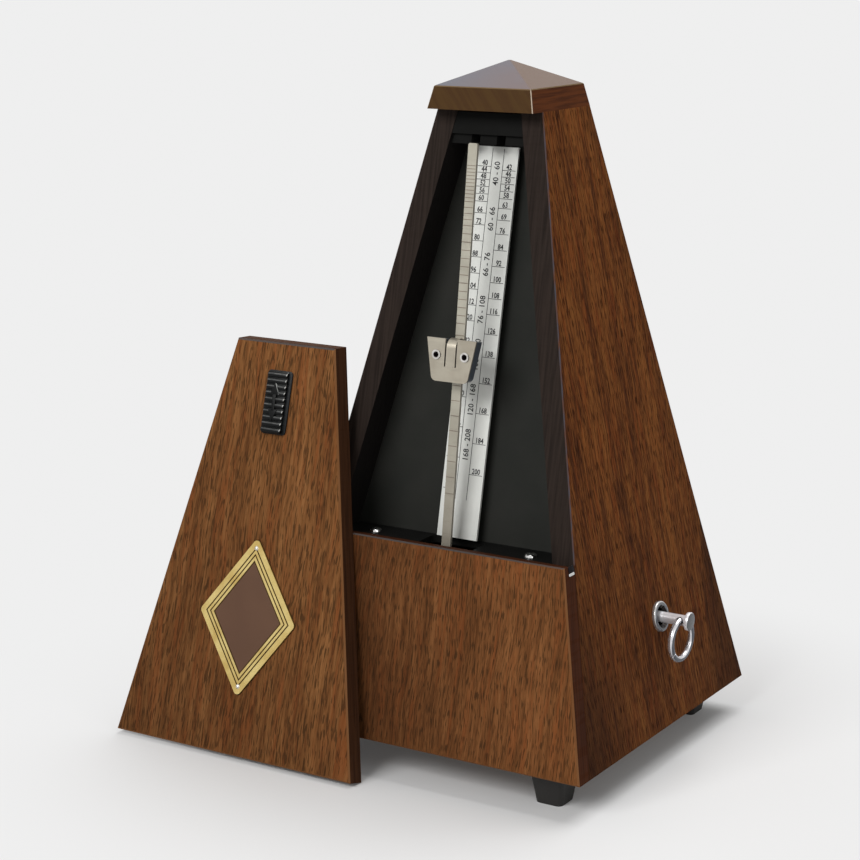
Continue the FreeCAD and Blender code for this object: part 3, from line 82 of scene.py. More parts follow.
class Recipe:
    """One material, built up node by node around a Principled shader."""

    def __init__(self, name: str) -> None:
        """Start an empty material.

        Args:
            name: Name of the material.
        """
        self.material = bpy.data.materials.new(name)
        self.material.use_nodes = True
        self.tree = self.material.node_tree
        self.tree.nodes.clear()
        self.shader = self.tree.nodes.new("ShaderNodeBsdfPrincipled")
        self.output = self.tree.nodes.new("ShaderNodeOutputMaterial")
        self.tree.links.new(self.shader.outputs["BSDF"], self.output.inputs["Surface"])
        self.place = self.tree.nodes.new("ShaderNodeTexCoord")
        self.point = self.place.outputs["Object"]

    def feed(self, socket: Socket, value: Feed) -> None:
        """Link a socket, or set its value.

        Args:
            socket: The input to fill.
            value: Another socket, or a constant.
        """
        if isinstance(value, bpy.types.NodeSocket):
            self.tree.links.new(value, socket)
        else:
            socket.default_value = value

    def shade(self, **inputs: Feed) -> None:
        """Fill inputs of the Principled shader; an underscore in a name stands for a space.

        Args:
            **inputs: Values by input name.
        """
        for name, value in inputs.items():
            self.feed(self.shader.inputs[name.replace("_", " ")], value)

    def maths(self, operation: str, first: Feed, second: Feed = 0.0, third: Feed = 0.0) -> Socket:
        """Add one Math node.

        Args:
            operation: The node's operation.
            first: First operand.
            second: Second operand.
            third: Third operand.

        Returns:
            The node's result.
        """
        node = self.tree.nodes.new("ShaderNodeMath")
        node.operation = operation
        for socket, value in zip(node.inputs, (first, second, third)):
            self.feed(socket, value)
        return node.outputs[0]

    def times(self, first: Feed, second: Feed) -> Socket:
        """Multiply two values."""
        return self.maths("MULTIPLY", first, second)

    def span(self, value: Feed, low: float, high: float, start: float = 0.0,
             end: float = 1.0) -> Socket:
        """Map a range smoothly onto another and clamp it.

        Args:
            value: What is mapped.
            low: Where the range begins.
            high: Where the range ends.
            start: Result at low.
            end: Result at high.

        Returns:
            The mapped value.
        """
        node = self.tree.nodes.new("ShaderNodeMapRange")
        node.interpolation_type = "SMOOTHSTEP"
        for socket, filling in zip(node.inputs, (value, low, high, start, end)):
            self.feed(socket, filling)
        return node.outputs[0]

    def within(self, value: Feed, low: float, high: float, soft: float) -> Socket:
        """Tell whether a value lies between two limits, with soft ends.

        Args:
            value: What is tested.
            low: Lower limit.
            high: Upper limit.
            soft: How far each end fades.

        Returns:
            1 inside, 0 outside.
        """
        rising = self.span(value, low - soft, low + soft)
        falling = self.span(value, high + soft, high - soft)
        return self.times(rising, falling)

    def mix(self, share: Feed, low: Feed, high: Feed, mode: str = "MIX") -> Socket:
        """Mix two colours.

        Args:
            share: How much of the second colour.
            low: First colour.
            high: Second colour.
            mode: Blend mode.

        Returns:
            The mixed colour.
        """
        node = self.tree.nodes.new("ShaderNodeMix")
        node.data_type = "RGBA"
        node.blend_type = mode
        self.feed(node.inputs["Factor"], share)
        self.feed(node.inputs[6], low)
        self.feed(node.inputs[7], high)
        return node.outputs[2]

    def ramp(self, share: Feed, *stops: tuple[float, Rgba]) -> Socket:
        """Run a value through a row of colours.

        Args:
            share: Where on the row.
            *stops: Places and colours, in order.

        Returns:
            The colour there.
        """
        node = self.tree.nodes.new("ShaderNodeValToRGB")
        row = node.color_ramp.elements
        while len(row) < len(stops):
            row.new(0.5)
        for element, (place, colour) in zip(row, stops):
            element.position = place
            element.color = colour
        self.feed(node.inputs[0], share)
        return node.outputs[0]

    def dot(self, vector: Socket, direction: Sequence[float]) -> Socket:
        """Length of a vector along a direction.

        Args:
            vector: The vector.
            direction: Unit direction.

        Returns:
            The dot product.
        """
        node = self.tree.nodes.new("ShaderNodeVectorMath")
        node.operation = "DOT_PRODUCT"
        self.feed(node.inputs[0], vector)
        self.feed(node.inputs[1], direction)
        return node.outputs["Value"]

    def facing(self, direction: Sequence[float]) -> Socket:
        """How squarely the surface faces a direction, from -1 to 1."""
        return self.dot(self.place.outputs["Normal"], direction)

    def along(self, direction: Sequence[float],
              start: Sequence[float] = (0.0, 0.0, 0.0)) -> Socket:
        """Distance of the surface point from a start, in millimetres, along a direction.

        Args:
            direction: Unit direction.
            start: Point to measure from, in metres.

        Returns:
            The distance in millimetres.
        """
        length = self.dot(self.point, direction)
        offset = Vector(start).dot(Vector(direction))
        return self.times(self.maths("SUBTRACT", length, offset), 1 / MM)

    def joined(self, across: Feed, up: Feed, layer: Feed = 0.0) -> Socket:
        """Make a vector of three values.

        Args:
            across: Its first value.
            up: Its second value.
            layer: Its third value.

        Returns:
            The vector.
        """
        node = self.tree.nodes.new("ShaderNodeCombineXYZ")
        for socket, value in zip(node.inputs, (across, up, layer)):
            self.feed(socket, value)
        return node.outputs[0]

    def noise(self, vector: Socket, scale: float = 1.0, detail: float = 2.0, rough: float = 0.5,
              warp: float = 0.0) -> Socket:
        """Cloudy noise.

        Args:
            vector: Where it is read.
            scale: Its frequency.
            detail: How many finer layers it has.
            rough: How strong the finer layers are.
            warp: How far it is pulled about.

        Returns:
            A value around 0.5.
        """
        node = self.tree.nodes.new("ShaderNodeTexNoise")
        self.feed(node.inputs["Vector"], vector)
        settings = {"Scale": scale, "Detail": detail, "Roughness": rough, "Distortion": warp}
        for name, value in settings.items():
            node.inputs[name].default_value = value
        return node.outputs["Fac"]

    def drawn(self, across: Socket, up: Socket, size: tuple[float, float], layer: float,
              detail: float = 2.0) -> Socket:
        """Noise drawn out along the grain.

        Args:
            across: Millimetres across the grain.
            up: Millimetres along the grain.
            size: Millimetres of one cloud across and along.
            layer: Which slice of the noise.
            detail: How many finer layers it has.

        Returns:
            A value around 0.5.
        """
        place = self.joined(self.maths("DIVIDE", across, size[0]),
                            self.maths("DIVIDE", up, size[1]), layer)
        return self.noise(place, 1.0, detail, 0.55, 0.15)

    def centred(self, value: Feed, scale: float, middle: Feed) -> Socket:
        """Spread a value about 0.5 round another middle.

        Args:
            value: The value, about 0.5.
            scale: How far it is spread.
            middle: What 0.5 becomes.

        Returns:
            The spread value.
        """
        return self.maths("MULTIPLY_ADD", self.maths("SUBTRACT", value, 0.5), scale, middle)

    def bump(self, height: Socket, depth: float, strength: float = 1.0) -> None:
        """Raise the surface by a height from 0 to 1.

        Args:
            height: The height.
            depth: What a height of 1 measures, in millimetres.
            strength: How much of it shows.
        """
        node = self.tree.nodes.new("ShaderNodeBump")
        node.inputs["Strength"].default_value = strength
        node.inputs["Distance"].default_value = depth * MM
        self.feed(node.inputs["Height"], height)
        self.tree.links.new(node.outputs["Normal"], self.shader.inputs["Normal"])


# ---- Directions read from the frame ---------------------------------------------------------
RIGHT, BACKWARD, UPWARD = Vector((1, 0, 0)), Vector((0, 1, 0)), Vector((0, 0, 1))


def leaning(angle: float) -> Vector:
    """Outward normal of a front that leans back by an angle."""
    return Vector((0, -math.cos(angle), math.sin(angle)))


def leaning_up(angle: float) -> Vector:
    """Up a front that leans back by an angle."""
    return Vector((0, math.sin(angle), math.cos(angle)))


@dataclass(frozen=True)
class Directions:
    """The case's, the cover's and the pendulum's own axes, as the frame has them."""

    middle: Vector
    lean: float
    tilt: float
    swing: float

    @property
    def front(self) -> Vector:
        """Outward normal of the fronts of the case."""
        return leaning(self.lean)

    @property
    def front_up(self) -> Vector:
        """Up the fronts of the case."""
        return leaning_up(self.lean)

    @property
    def back(self) -> Vector:
        """Outward normal of the back."""
        return Vector((0, math.cos(self.lean), math.sin(self.lean)))

    @property
    def back_up(self) -> Vector:
        """Up the back."""
        return leaning_up(-self.lean)

    def side(self, sign: int) -> Vector:
        """Outward normal of a side, -1 for the left one."""
        return Vector((sign * math.cos(self.lean), 0, math.sin(self.lean)))

    def side_up(self, sign: int) -> Vector:
        """Up a side, -1 for the left one."""
        return Vector((-sign * math.sin(self.lean), 0, math.cos(self.lean)))

    @property
    def cover(self) -> Vector:
        """Outward normal of the leaning cover."""
        return leaning(self.tilt)

    @property
    def cover_up(self) -> Vector:
        """Up the leaning cover."""
        return leaning_up(self.tilt)

    @property
    def rod_up(self) -> Vector:
        """Up the pendulum rod."""
        return leaning_up(self.swing)

    @property
    def rod_front(self) -> Vector:
        """Outward normal of the rod's broad front face."""
        return leaning(self.swing)


def middle_of(node: str) -> Vector:
    """Middle of a node's box."""
    low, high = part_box(node)
    return (Vector(low) + Vector(high)) / 2


def furthest(node: str, direction: Vector) -> Vector:
    """Corner of a node that lies furthest along a direction.

    Args:
        node: Name of the node.
        direction: Unit direction.

    Returns:
        The corner, in metres.
    """
    return max((v.co.copy() for v in frame["nodes"][node].data.vertices), key=direction.dot)


def reach_of(node: str, direction: Vector) -> float:
    """How far a node reaches along a direction, in metres."""
    return furthest(node, direction).dot(direction)


def joint_point(name: str) -> Vector:
    """Point of the frame that a joint goes through."""
    return next(Vector(joint["pos_m"]) for joint in frame["joints"] if joint["name"] == name)


def read_directions() -> Directions:
    """Work the axes out from the feet, the side panel and the slides of the catch and the weight.

    Returns:
        The directions.
    """
    middle = (middle_of("foot_front_left") + middle_of("foot_rear_right")) / 2
    low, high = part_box("side_panel_right")
    corners = [v.co for v in frame["nodes"]["side_panel_right"].data.vertices]
    half_top = max(c.x for c in corners if c.z > high.z - 0.1 * MM)
    axes = {joint["name"]: Vector(joint["axis"]) for joint in frame["joints"]}
    catch = axes["catch_slide"]
    weight = axes["weight_slide"]
    return Directions(middle=Vector((middle.x, middle.y, 0)),
                      lean=math.atan((high.x - half_top) / (high.z - low.z)),
                      tilt=math.atan2(-catch.y, -catch.z), swing=math.atan2(weight.y, weight.z))


AXES = read_directions()


# ---- Finishes -------------------------------------------------------------------------------
@dataclass(frozen=True)
class Finish:
    """A named finish; every kind lays its own nodes."""

    name: str

    def material(self) -> bpy.types.Material:
        """Build the finish's material.

        Returns:
            The material.
        """
        recipe = Recipe(self.name)
        self.lay(recipe)
        return recipe.material

    def lay(self, recipe: Recipe) -> None:
        """Lay the nodes of the finish, which every kind does in its own way."""
        raise NotImplementedError(type(self).__name__)


@dataclass(frozen=True)
class Grain:
    """Size and strength of a wood's figure, in millimetres across and along the grain."""

    band: tuple[float, float] = (9.0, 60.0)
    streak: tuple[float, float] = (1.5, 26.0)
    fibre: tuple[float, float] = (0.40, 6.0)
    pore: tuple[float, float] = (0.36, 3.5)
    pore_share: float = 0.555
    contrast: float = 1.5
    wander: float = 1.6


@dataclass(frozen=True)
class Stain:
    """A strip of painted shade on the wood along a line."""

    across: Vector
    start: Vector
    near: float
    far: float
    strength: float


@dataclass(frozen=True)
class Veneer(Finish):
    """Open-pored walnut veneer on one face of a panel, under a dull lacquer."""

    face: Vector
    across: Vector
    up: Vector
    start: Vector = AXES.middle
    light: Rgba = srgb(137, 93, 55)
    middle: Rgba = srgb(112, 73, 41)
    dark: Rgba = srgb(84, 51, 28)
    pore: Rgba = srgb(54, 38, 23)
    warm: Rgba = srgb(124, 69, 36)
    edge: Rgba = srgb(60, 42, 32)
    edge_dark: Rgba = srgb(46, 32, 25)
    edge_across: Vector = RIGHT
    edge_up: Vector = UPWARD
    inside: Rgba = srgb(26, 24, 23)
    # Painted highlight on the worked edges, its own colour on those that face up; below a height
    # they turn dark.
    worn: Rgba = srgb(122, 84, 54)
    worn_top: Rgba = srgb(76, 71, 69)
    worn_from: float = -1000.0
    # Colour of the painted shade strips.
    deep: Rgba = srgb(34, 19, 12)
    ragged: float = 9.0
    grain: Grain = Grain()
    stains: tuple[Stain, ...] = ()
    seed: float = 0.0

    def lay(self, recipe: Recipe) -> None:
        """Lay the veneer with its painted shade strips, its edges with their painted highlight,
        and its inside.

        Args:
            recipe: The material.
        """
        up = recipe.along(self.up, self.start)
        across = self.wandering(recipe, recipe.along(self.across, self.start), up)
        wood, pores = self.wood(recipe, across, up)
        # Painted shade: darker strips where the light falls off.
        for shade_strip in self.stains:
            wood = recipe.mix(self.stained(recipe, shade_strip, up), wood, self.deep)
        squarely = recipe.facing(self.face)
        shown = recipe.span(squarely, 0.93, 0.97)
        colour = recipe.mix(shown, self.edges(recipe, squarely), wood)
        recipe.shade(Base_Color=colour, Roughness=recipe.span(pores, 0.0, 1.0, 0.55, 0.75),
                     Specular_IOR_Level=0.018)
        filled = recipe.maths("SUBTRACT", 1.0, pores)
        recipe.bump(recipe.times(filled, shown), 0.05, 0.5)

    def wandering(self, recipe: Recipe, across: Socket, up: Socket) -> Socket:
        """Let the grain wander sideways a little.

        Args:
            recipe: The material.
            across: Millimetres across the panel.
            up: Millimetres up the panel.

        Returns:
            Millimetres across the grain.
        """
        drift = recipe.drawn(across, up, (30.0, 34.0), self.seed + 31, 1.0)
        return recipe.maths("MULTIPLY_ADD", drift, self.grain.wander * 2, across)

    def wood(self, recipe: Recipe, across: Socket, up: Socket) -> tuple[Socket, Socket]:
        """Lay out the figure of the wood.

        Args:
            recipe: The material.
            across: Millimetres across the grain.
            up: Millimetres along the grain.

        Returns:
            The colour of the wood, and where its pores are.
        """
        grain = self.grain
        parts = ((grain.band, 0.30), (grain.streak, 0.36), (grain.fibre, 0.34))
        tone: Feed = 0.0
        for number, (size, share) in enumerate(parts):
            layer = recipe.drawn(across, up, size, self.seed + number)
            tone = recipe.maths("MULTIPLY_ADD", layer, share, tone)
        tone = recipe.centred(tone, 2.0 * grain.contrast, 0.5)
        wood = recipe.ramp(tone, (0.15, self.dark), (0.5, self.middle), (0.85, self.light))
        hue = recipe.drawn(across, up, (grain.streak[0] * 1.3, grain.streak[1]), self.seed + 17)
        wood = recipe.mix(recipe.span(hue, 0.46, 0.72, 0.0, 0.6), wood, self.warm)
        dashes = recipe.drawn(across, up, grain.pore, self.seed + 7, 0.6)
        long_pore = (grain.pore[0] * 1.5, grain.pore[1] * 2.2)
        longer = recipe.drawn(across, up, long_pore, self.seed + 9, 1.0)
        share = grain.pore_share
        pores = recipe.maths("MAXIMUM", recipe.span(dashes, share, share + 0.10),
                             recipe.span(longer, share + 0.05, share + 0.16))
        wood = recipe.mix(recipe.times(pores, 0.72), wood, self.pore)
        return wood, pores

    def stained(self, recipe: Recipe, shade_strip: Stain, up: Socket) -> Socket:
        """Share of the painted shade in one strip.

        Args:
            recipe: The material.
            shade_strip: The strip of painted shade.
            up: Millimetres up the panel.

        Returns:
            The share, from 0 to 1.
        """
        place = recipe.along(shade_strip.across, shade_strip.start)
        ragged = recipe.drawn(place, up, (3.0, 30.0), self.seed + 41)
        place = recipe.centred(ragged, self.ragged, place)
        return recipe.span(place, shade_strip.near, shade_strip.far, shade_strip.strength, 0.0)

    def edges(self, recipe: Recipe, squarely: Socket) -> Socket:
        """Colour of the worked edges with their painted highlight, the sawn edges and the inside.

        Args:
            recipe: The material.
            squarely: How squarely the surface faces the shown side.

        Returns:
            The colour.
        """
        fine = recipe.drawn(recipe.along(self.edge_across), recipe.along(self.edge_up),
                            (0.9, 26.0), 5.0, 3.0)
        edge = recipe.mix(recipe.span(fine, 0.35, 0.7), self.edge, self.edge_dark)
        behind = recipe.mix(recipe.span(fine, 0.35, 0.7), self.middle, self.dark)
        edge = recipe.mix(recipe.span(recipe.facing(AXES.back), 0.5, 0.7), edge, behind)
        hidden = recipe.mix(recipe.span(squarely, -0.60, -0.66), edge, self.inside)
        # Painted highlight on the worked edges, broken up by the grain and dark below a height.
        above = recipe.span(recipe.facing(self.up), 0.45, 0.6)
        worn = recipe.mix(above, self.worn, self.worn_top)
        worn = recipe.mix(recipe.span(fine, 0.35, 0.7, 0.0, 0.7), worn, self.middle)
        high = recipe.along(UPWARD)
        worn = recipe.mix(recipe.span(high, self.worn_from - 1, self.worn_from), self.dark, worn)
        return recipe.mix(recipe.span(squarely, 0.60, 0.64), hidden, worn)


@dataclass(frozen=True)
class CapLacquer(Finish):
    """Glossy lacquered wood of the cap: a cool painted reflection on the front slope, a warm side
    slope with painted sheen, a brown fascia.
    """

    name: str = "cap_lacquer"
    # Painted reflection on the front slope, cool and warmer to the right; the side slope is wood
    # with painted sheen.
    slope_front: Rgba = srgb(102, 103, 112)
    slope_front_warm: Rgba = srgb(113, 98, 97)
    slope_side: Rgba = srgb(96, 68, 47)
    fascia_front: Rgba = srgb(77, 56, 33)
    fascia_dark: Rgba = srgb(71, 50, 31)
    fascia_side: Rgba = srgb(91, 49, 24)
    fascia_side_dark: Rgba = srgb(69, 36, 18)
    # Painted highlights on the upright corners, along the eaves and on the far hip.
    corner: Rgba = srgb(190, 174, 156)
    eaves: Rgba = srgb(112, 92, 66)
    far_hip: Rgba = srgb(190, 136, 88)
    # Painted shade on the faces that look down.
    under: Rgba = srgb(20, 16, 13)
    slope_from: tuple[float, float] = (0.80, 0.85)
    far_corner: tuple[float, float, float] = (0.7071, 0.7071, 0.0)
    gloss: float = 0.65

    def lay(self, recipe: Recipe) -> None:
        """Lay the lacquer face by face, with its painted reflection, sheen, highlights and shade.

        Args:
            recipe: The material.
        """
        forward = recipe.maths("ABSOLUTE", recipe.facing(BACKWARD))
        sideways = recipe.maths("ABSOLUTE", recipe.facing(RIGHT))
        turned = recipe.maths("SUBTRACT", forward, sideways)
        to_front = recipe.span(turned, -0.02, 0.02)
        upright = recipe.facing(UPWARD)
        x, y, z = (recipe.along(axis, AXES.middle) for axis in (RIGHT, BACKWARD, UPWARD))
        lengthways = recipe.drawn(z, recipe.maths("ADD", x, y), (1.1, 24.0), 3.0, 3.0)
        slanted = recipe.drawn(recipe.maths("MULTIPLY_ADD", z, 0.8, x), z, (1.6, 14.0), 6.0, 2.0)
        cloud = recipe.span(recipe.noise(recipe.point, 90.0, 2), 0.3, 0.7)
        front = recipe.mix(recipe.span(slanted, 0.35, 0.7), self.fascia_front, self.fascia_dark)
        streaks = recipe.span(lengthways, 0.4, 0.62)
        side = recipe.mix(streaks, self.fascia_side, self.fascia_side_dark)
        fascia = recipe.mix(to_front, side, front)
        # The front slope's painted reflection grows warmer towards the right.
        warmer = recipe.centred(cloud, 0.3, recipe.span(x, -24, 26))
        cool = recipe.mix(warmer, self.slope_front, self.slope_front_warm)
        slope = recipe.mix(to_front, self.slope_side, cool)
        sloping = recipe.span(upright, *self.slope_from)
        colour = recipe.mix(sloping, fascia, slope)
        # Painted highlights on the upright corners, the eaves and the far hip.
        slanting = recipe.maths("LESS_THAN", recipe.maths("ABSOLUTE", turned), 0.15)
        corner = recipe.times(recipe.within(upright, -0.2, 0.36, 0.02), slanting)
        colour = recipe.mix(recipe.within(upright, 0.38, 0.88, 0.01), colour, self.eaves)
        colour = recipe.mix(corner, colour, self.corner)
        far = recipe.times(recipe.span(recipe.facing(self.far_corner), 0.32, 0.34), sloping)
        colour = recipe.mix(far, colour, self.far_hip)
        # Painted shade under the cap.
        colour = recipe.mix(recipe.span(upright, -0.5, -0.6), colour, self.under)
        recipe.shade(Base_Color=colour, Roughness=0.5, Specular_IOR_Level=0.02,
                     Coat_Weight=recipe.span(upright, *self.slope_from, 0.0, self.gloss),
                     Coat_Roughness=0.16)
        recipe.bump(lengthways, 0.01, 0.2)


@dataclass(frozen=True)
class Painted(Finish):
    """Dark painted or moulded surface with a fine eggshell texture."""

    colour: Rgba = srgb(42, 42, 40)
    speck: Rgba = srgb(50, 50, 47)
    rough: float = 0.55
    gloss: float = 0.2
    grit: float = 2600.0

    def lay(self, recipe: Recipe) -> None:
        """Lay the paint and its fine grit.

        Args:
            recipe: The material.
        """
        cloud = recipe.noise(recipe.point, 60.0, 3)
        grit = recipe.noise(recipe.point, self.grit, 2)
        recipe.shade(Base_Color=recipe.mix(recipe.span(cloud, 0.3, 0.75), self.colour, self.speck),
                     Roughness=recipe.span(grit, 0.3, 0.7, self.rough - 0.06, self.rough + 0.08),
                     Specular_IOR_Level=self.gloss)
        recipe.bump(grit, 0.02, 0.25)


@dataclass(frozen=True)
class Metal(Finish):
    """Metal with a brushed, satin or polished surface."""

    colour: Rgba
    dull: Rgba
    rough: float = 0.3
    brushed: tuple[float, float, float] = (40.0, 40.0, 900.0)
    depth: float = 0.004
    shine: float = 1.0
    # Painted shade, darker along the rod below the weight.
    tarnish: Rgba = (0.0, 0.0, 0.0, 1.0)
    tarnish_share: float = 0.0
    tarnish_long: float = 70.0

    def lay(self, recipe: Recipe) -> None:
        """Lay the metal, its brushing and, where asked, a painted shade that darkens it below the
        weight.

        Args:
            recipe: The material.
        """
        stretch = recipe.tree.nodes.new("ShaderNodeMapping")
        stretch.inputs["Scale"].default_value = self.brushed
        recipe.feed(stretch.inputs["Vector"], recipe.point)
        lines = recipe.noise(stretch.outputs[0], 3.0, 3, 0.6)
        cloud = recipe.noise(recipe.point, 140.0, 3)
        tone = recipe.mix(recipe.span(cloud, 0.3, 0.75), self.colour, self.dull)
        # Painted shade below the weight.
        if self.tarnish_share:
            rise = recipe.along(AXES.rod_up, middle_of("weight_face"))
            share = recipe.span(rise, -self.tarnish_long, 0.0, self.tarnish_share, 0.0)
            tone = recipe.mix(share, tone, self.tarnish)
        recipe.shade(Base_Color=tone, Metallic=self.shine,
                     Roughness=recipe.span(lines, 0.25, 0.75, self.rough * 0.8, self.rough * 1.25))
        recipe.bump(lines, self.depth, 0.4)


@dataclass(frozen=True)
class BadgeBrass(Finish):
    """Polished brass lozenge whose engraved lines are filled dark."""

    name: str = "badge_brass"
    brass: Rgba = srgb(216, 194, 128)
    worn: Rgba = srgb(196, 168, 100)
    filled: Rgba = srgb(62, 44, 16)
    half_wide: float = 18.0
    half_high: float = 25.0
    lines: tuple[tuple[float, float], ...] = ((1.8, 2.22), (2.98, 3.40), (4.18, 4.75))

    def lay(self, recipe: Recipe) -> None:
        """Lay the brass and its filled lines.

        Args:
            recipe: The material.
        """
        middle = middle_of("badge_plate")
        across = recipe.maths("ABSOLUTE", recipe.along(RIGHT, middle))
        up = recipe.maths("ABSOLUTE", recipe.along(AXES.cover_up, middle))
        share = recipe.maths("ADD", recipe.maths("DIVIDE", across, self.half_wide),
                             recipe.maths("DIVIDE", up, self.half_high))
        depth = self.half_wide * self.half_high / math.hypot(self.half_wide, self.half_high)
        inset = recipe.times(recipe.maths("SUBTRACT", 1.0, share), depth)
        filled: Feed = 0.0
        for low, high in self.lines:
            filled = recipe.maths("MAXIMUM", filled, recipe.within(inset, low, high, 0.05))
        square = recipe.span(recipe.facing(AXES.cover), 0.5, 0.8)
        cloud = recipe.noise(recipe.point, 160.0, 3)
        brass = recipe.mix(recipe.span(cloud, 0.35, 0.7), self.brass, self.worn)
        brass = recipe.mix(square, self.worn, brass)
        recipe.shade(Base_Color=recipe.mix(filled, brass, self.filled), Metallic=0.85,
                     Roughness=recipe.span(filled, 0.0, 1.0, 0.30, 0.6))
        recipe.bump(recipe.noise(recipe.point, 900.0, 2), 0.004, 0.3)


@dataclass(frozen=True)
class CatchPlastic(Finish):
    """Black moulded plastic with painted highlights on the upper flanks and right ends of its ribs
    and along the flange's right edge.
    """

    name: str = "catch_black"
    black: Rgba = srgb(13, 14, 14)
    rubbed: Rgba = srgb(96, 97, 96)
    worn_end: Rgba = srgb(205, 206, 202)
    # Painted bluish highlight along the right edge of the flange.
    rim: Rgba = srgb(52, 58, 64)

    def lay(self, recipe: Recipe) -> None:
        """Lay the plastic and its painted highlights.

        Args:
            recipe: The material.
        """
        up, right = recipe.facing(AXES.cover_up), recipe.facing(RIGHT)
        patchy = recipe.noise(recipe.point, 700.0, 2)
        # Painted highlights: the upper flanks of the ribs, patchy, and their right ends.
        flank = recipe.times(recipe.span(up, 0.12, 0.50), recipe.span(up, 0.98, 0.85))
        flank = recipe.times(flank, recipe.span(patchy, 0.25, 0.7, 0.5, 1.0))
        ends = recipe.times(recipe.span(right, 0.25, 0.5), recipe.span(right, 0.97, 0.85))
        ends = recipe.times(ends, recipe.span(up, -0.2, 0.25))
        proud = recipe.along(AXES.cover, furthest("catch_slider", AXES.cover))
        ends = recipe.times(ends, recipe.span(proud, -1.3, -0.9))
        rim = recipe.times(recipe.within(proud, -1.95, -1.6, 0.06),
                           recipe.span(right, 0.2, 0.5))
        colour = recipe.mix(flank, self.black, self.rubbed)
        colour = recipe.mix(ends, colour, self.worn_end)
        recipe.shade(Base_Color=recipe.mix(rim, colour, self.rim), Roughness=0.36,
                     Specular_IOR_Level=0.12)
        recipe.bump(patchy, 0.008, 0.3)


@dataclass(frozen=True)
class KeyMetal(Finish):
    """Bright plated key, with a painted dark reflection on the flanks that face away from the
    lamps.
    """

    name: str = "key_chrome"
    bright: Rgba = srgb(214, 212, 210)
    dull: Rgba = srgb(186, 185, 184)
    slate: Rgba = srgb(88, 92, 99)
    # Painted shade inside the hole.
    hollow: Rgba = srgb(26, 20, 17)
    rough: float = 0.18
    shine: float = 0.75
    hole: float = 0.0
    shaded: Vector = Vector((0.92, -0.25, -0.30)).normalized()

    def lay(self, recipe: Recipe) -> None:
        """Lay the plating with its painted dark reflection, and painted shade in the hole of a
        ring if it has one.

        Args:
            recipe: The material.
        """
        cloud = recipe.noise(recipe.point, 260.0, 3)
        plating = recipe.mix(recipe.span(cloud, 0.35, 0.7), self.bright, self.dull)
        turned = recipe.facing(self.shaded)
        # Painted dark reflection on the flanks turned to the shaded side.
        colour = recipe.mix(recipe.span(turned, 0.70, 0.86, 0.0, 0.92), plating, self.slate)
        if self.hole:
            start = joint_point("key_winding")
            flat = recipe.joined(0.0, recipe.along(BACKWARD, start), recipe.along(UPWARD, start))
            length = recipe.tree.nodes.new("ShaderNodeVectorMath")
            length.operation = "LENGTH"
            recipe.feed(length.inputs[0], flat)
            inside = recipe.span(length.outputs["Value"], self.hole, self.hole + 0.15, 1.0, 0.0)
            colour = recipe.mix(inside, colour, self.hollow)
        recipe.shade(Base_Color=colour, Metallic=self.shine,
                     Roughness=recipe.span(cloud, 0.3, 0.7, self.rough * 0.85, self.rough * 1.2))
        recipe.bump(cloud, 0.002, 0.2)


@dataclass(frozen=True)
class TubeRivets(Finish):
    """Two bright tube rivets with painted shade on their walls and in their bores."""

    name: str = "rivet_steel"
    rim: Rgba = srgb(214, 212, 208)
    rim_dull: Rgba = srgb(192, 189, 184)
    # Painted shade on the walls and in the bores.
    wall: Rgba = srgb(74, 64, 60)
    bore: Rgba = srgb(44, 34, 40)
    bore_share: float = 0.60

    def lay(self, recipe: Recipe) -> None:
        """Lay the steel of the rims, the painted shade of the walls and the painted shade of the
        bores.

        Args:
            recipe: The material.
        """
        low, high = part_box("weight_rivets")
        top = reach_of("weight_rivets", AXES.rod_up)
        foot = -reach_of("weight_rivets", -AXES.rod_up)
        radius = (top - foot) / 2 / MM
        spread = (high[0] - low[0]) / 2 / MM - radius
        across = recipe.along(RIGHT, Vector(((low[0] + high[0]) / 2, 0, 0)))
        across = recipe.maths("SUBTRACT", recipe.maths("ABSOLUTE", across), spread)
        up = recipe.along(AXES.rod_up, AXES.rod_up * ((top + foot) / 2))
        away = recipe.maths("SQRT", recipe.maths("ADD", recipe.maths("POWER", across, 2.0),
                                                 recipe.maths("POWER", up, 2.0)))
        cloud = recipe.noise(recipe.point, 900.0, 3)
        rim = recipe.mix(recipe.span(cloud, 0.35, 0.65), self.rim, self.rim_dull)
        colour = recipe.mix(recipe.span(recipe.facing(AXES.rod_front), 0.5, 0.8), self.wall, rim)
        # Painted shade fills the bore.
        bore = radius * self.bore_share
        inside = recipe.span(away, bore, bore + 0.06, 1.0, 0.0)
        recipe.shade(Base_Color=recipe.mix(inside, colour, self.bore), Roughness=0.3,
                     Metallic=recipe.maths("SUBTRACT", 0.6, recipe.times(inside, 0.6)))
        recipe.bump(cloud, 0.004, 0.3)


# ---- The stage ------------------------------------------------------------------------------
@dataclass(frozen=True)
class Lamp:
    """A rectangular light: its place from the case's middle, its width and height, its watts."""

    name: str
    place: Vector
    size: tuple[float, float]
    power: float


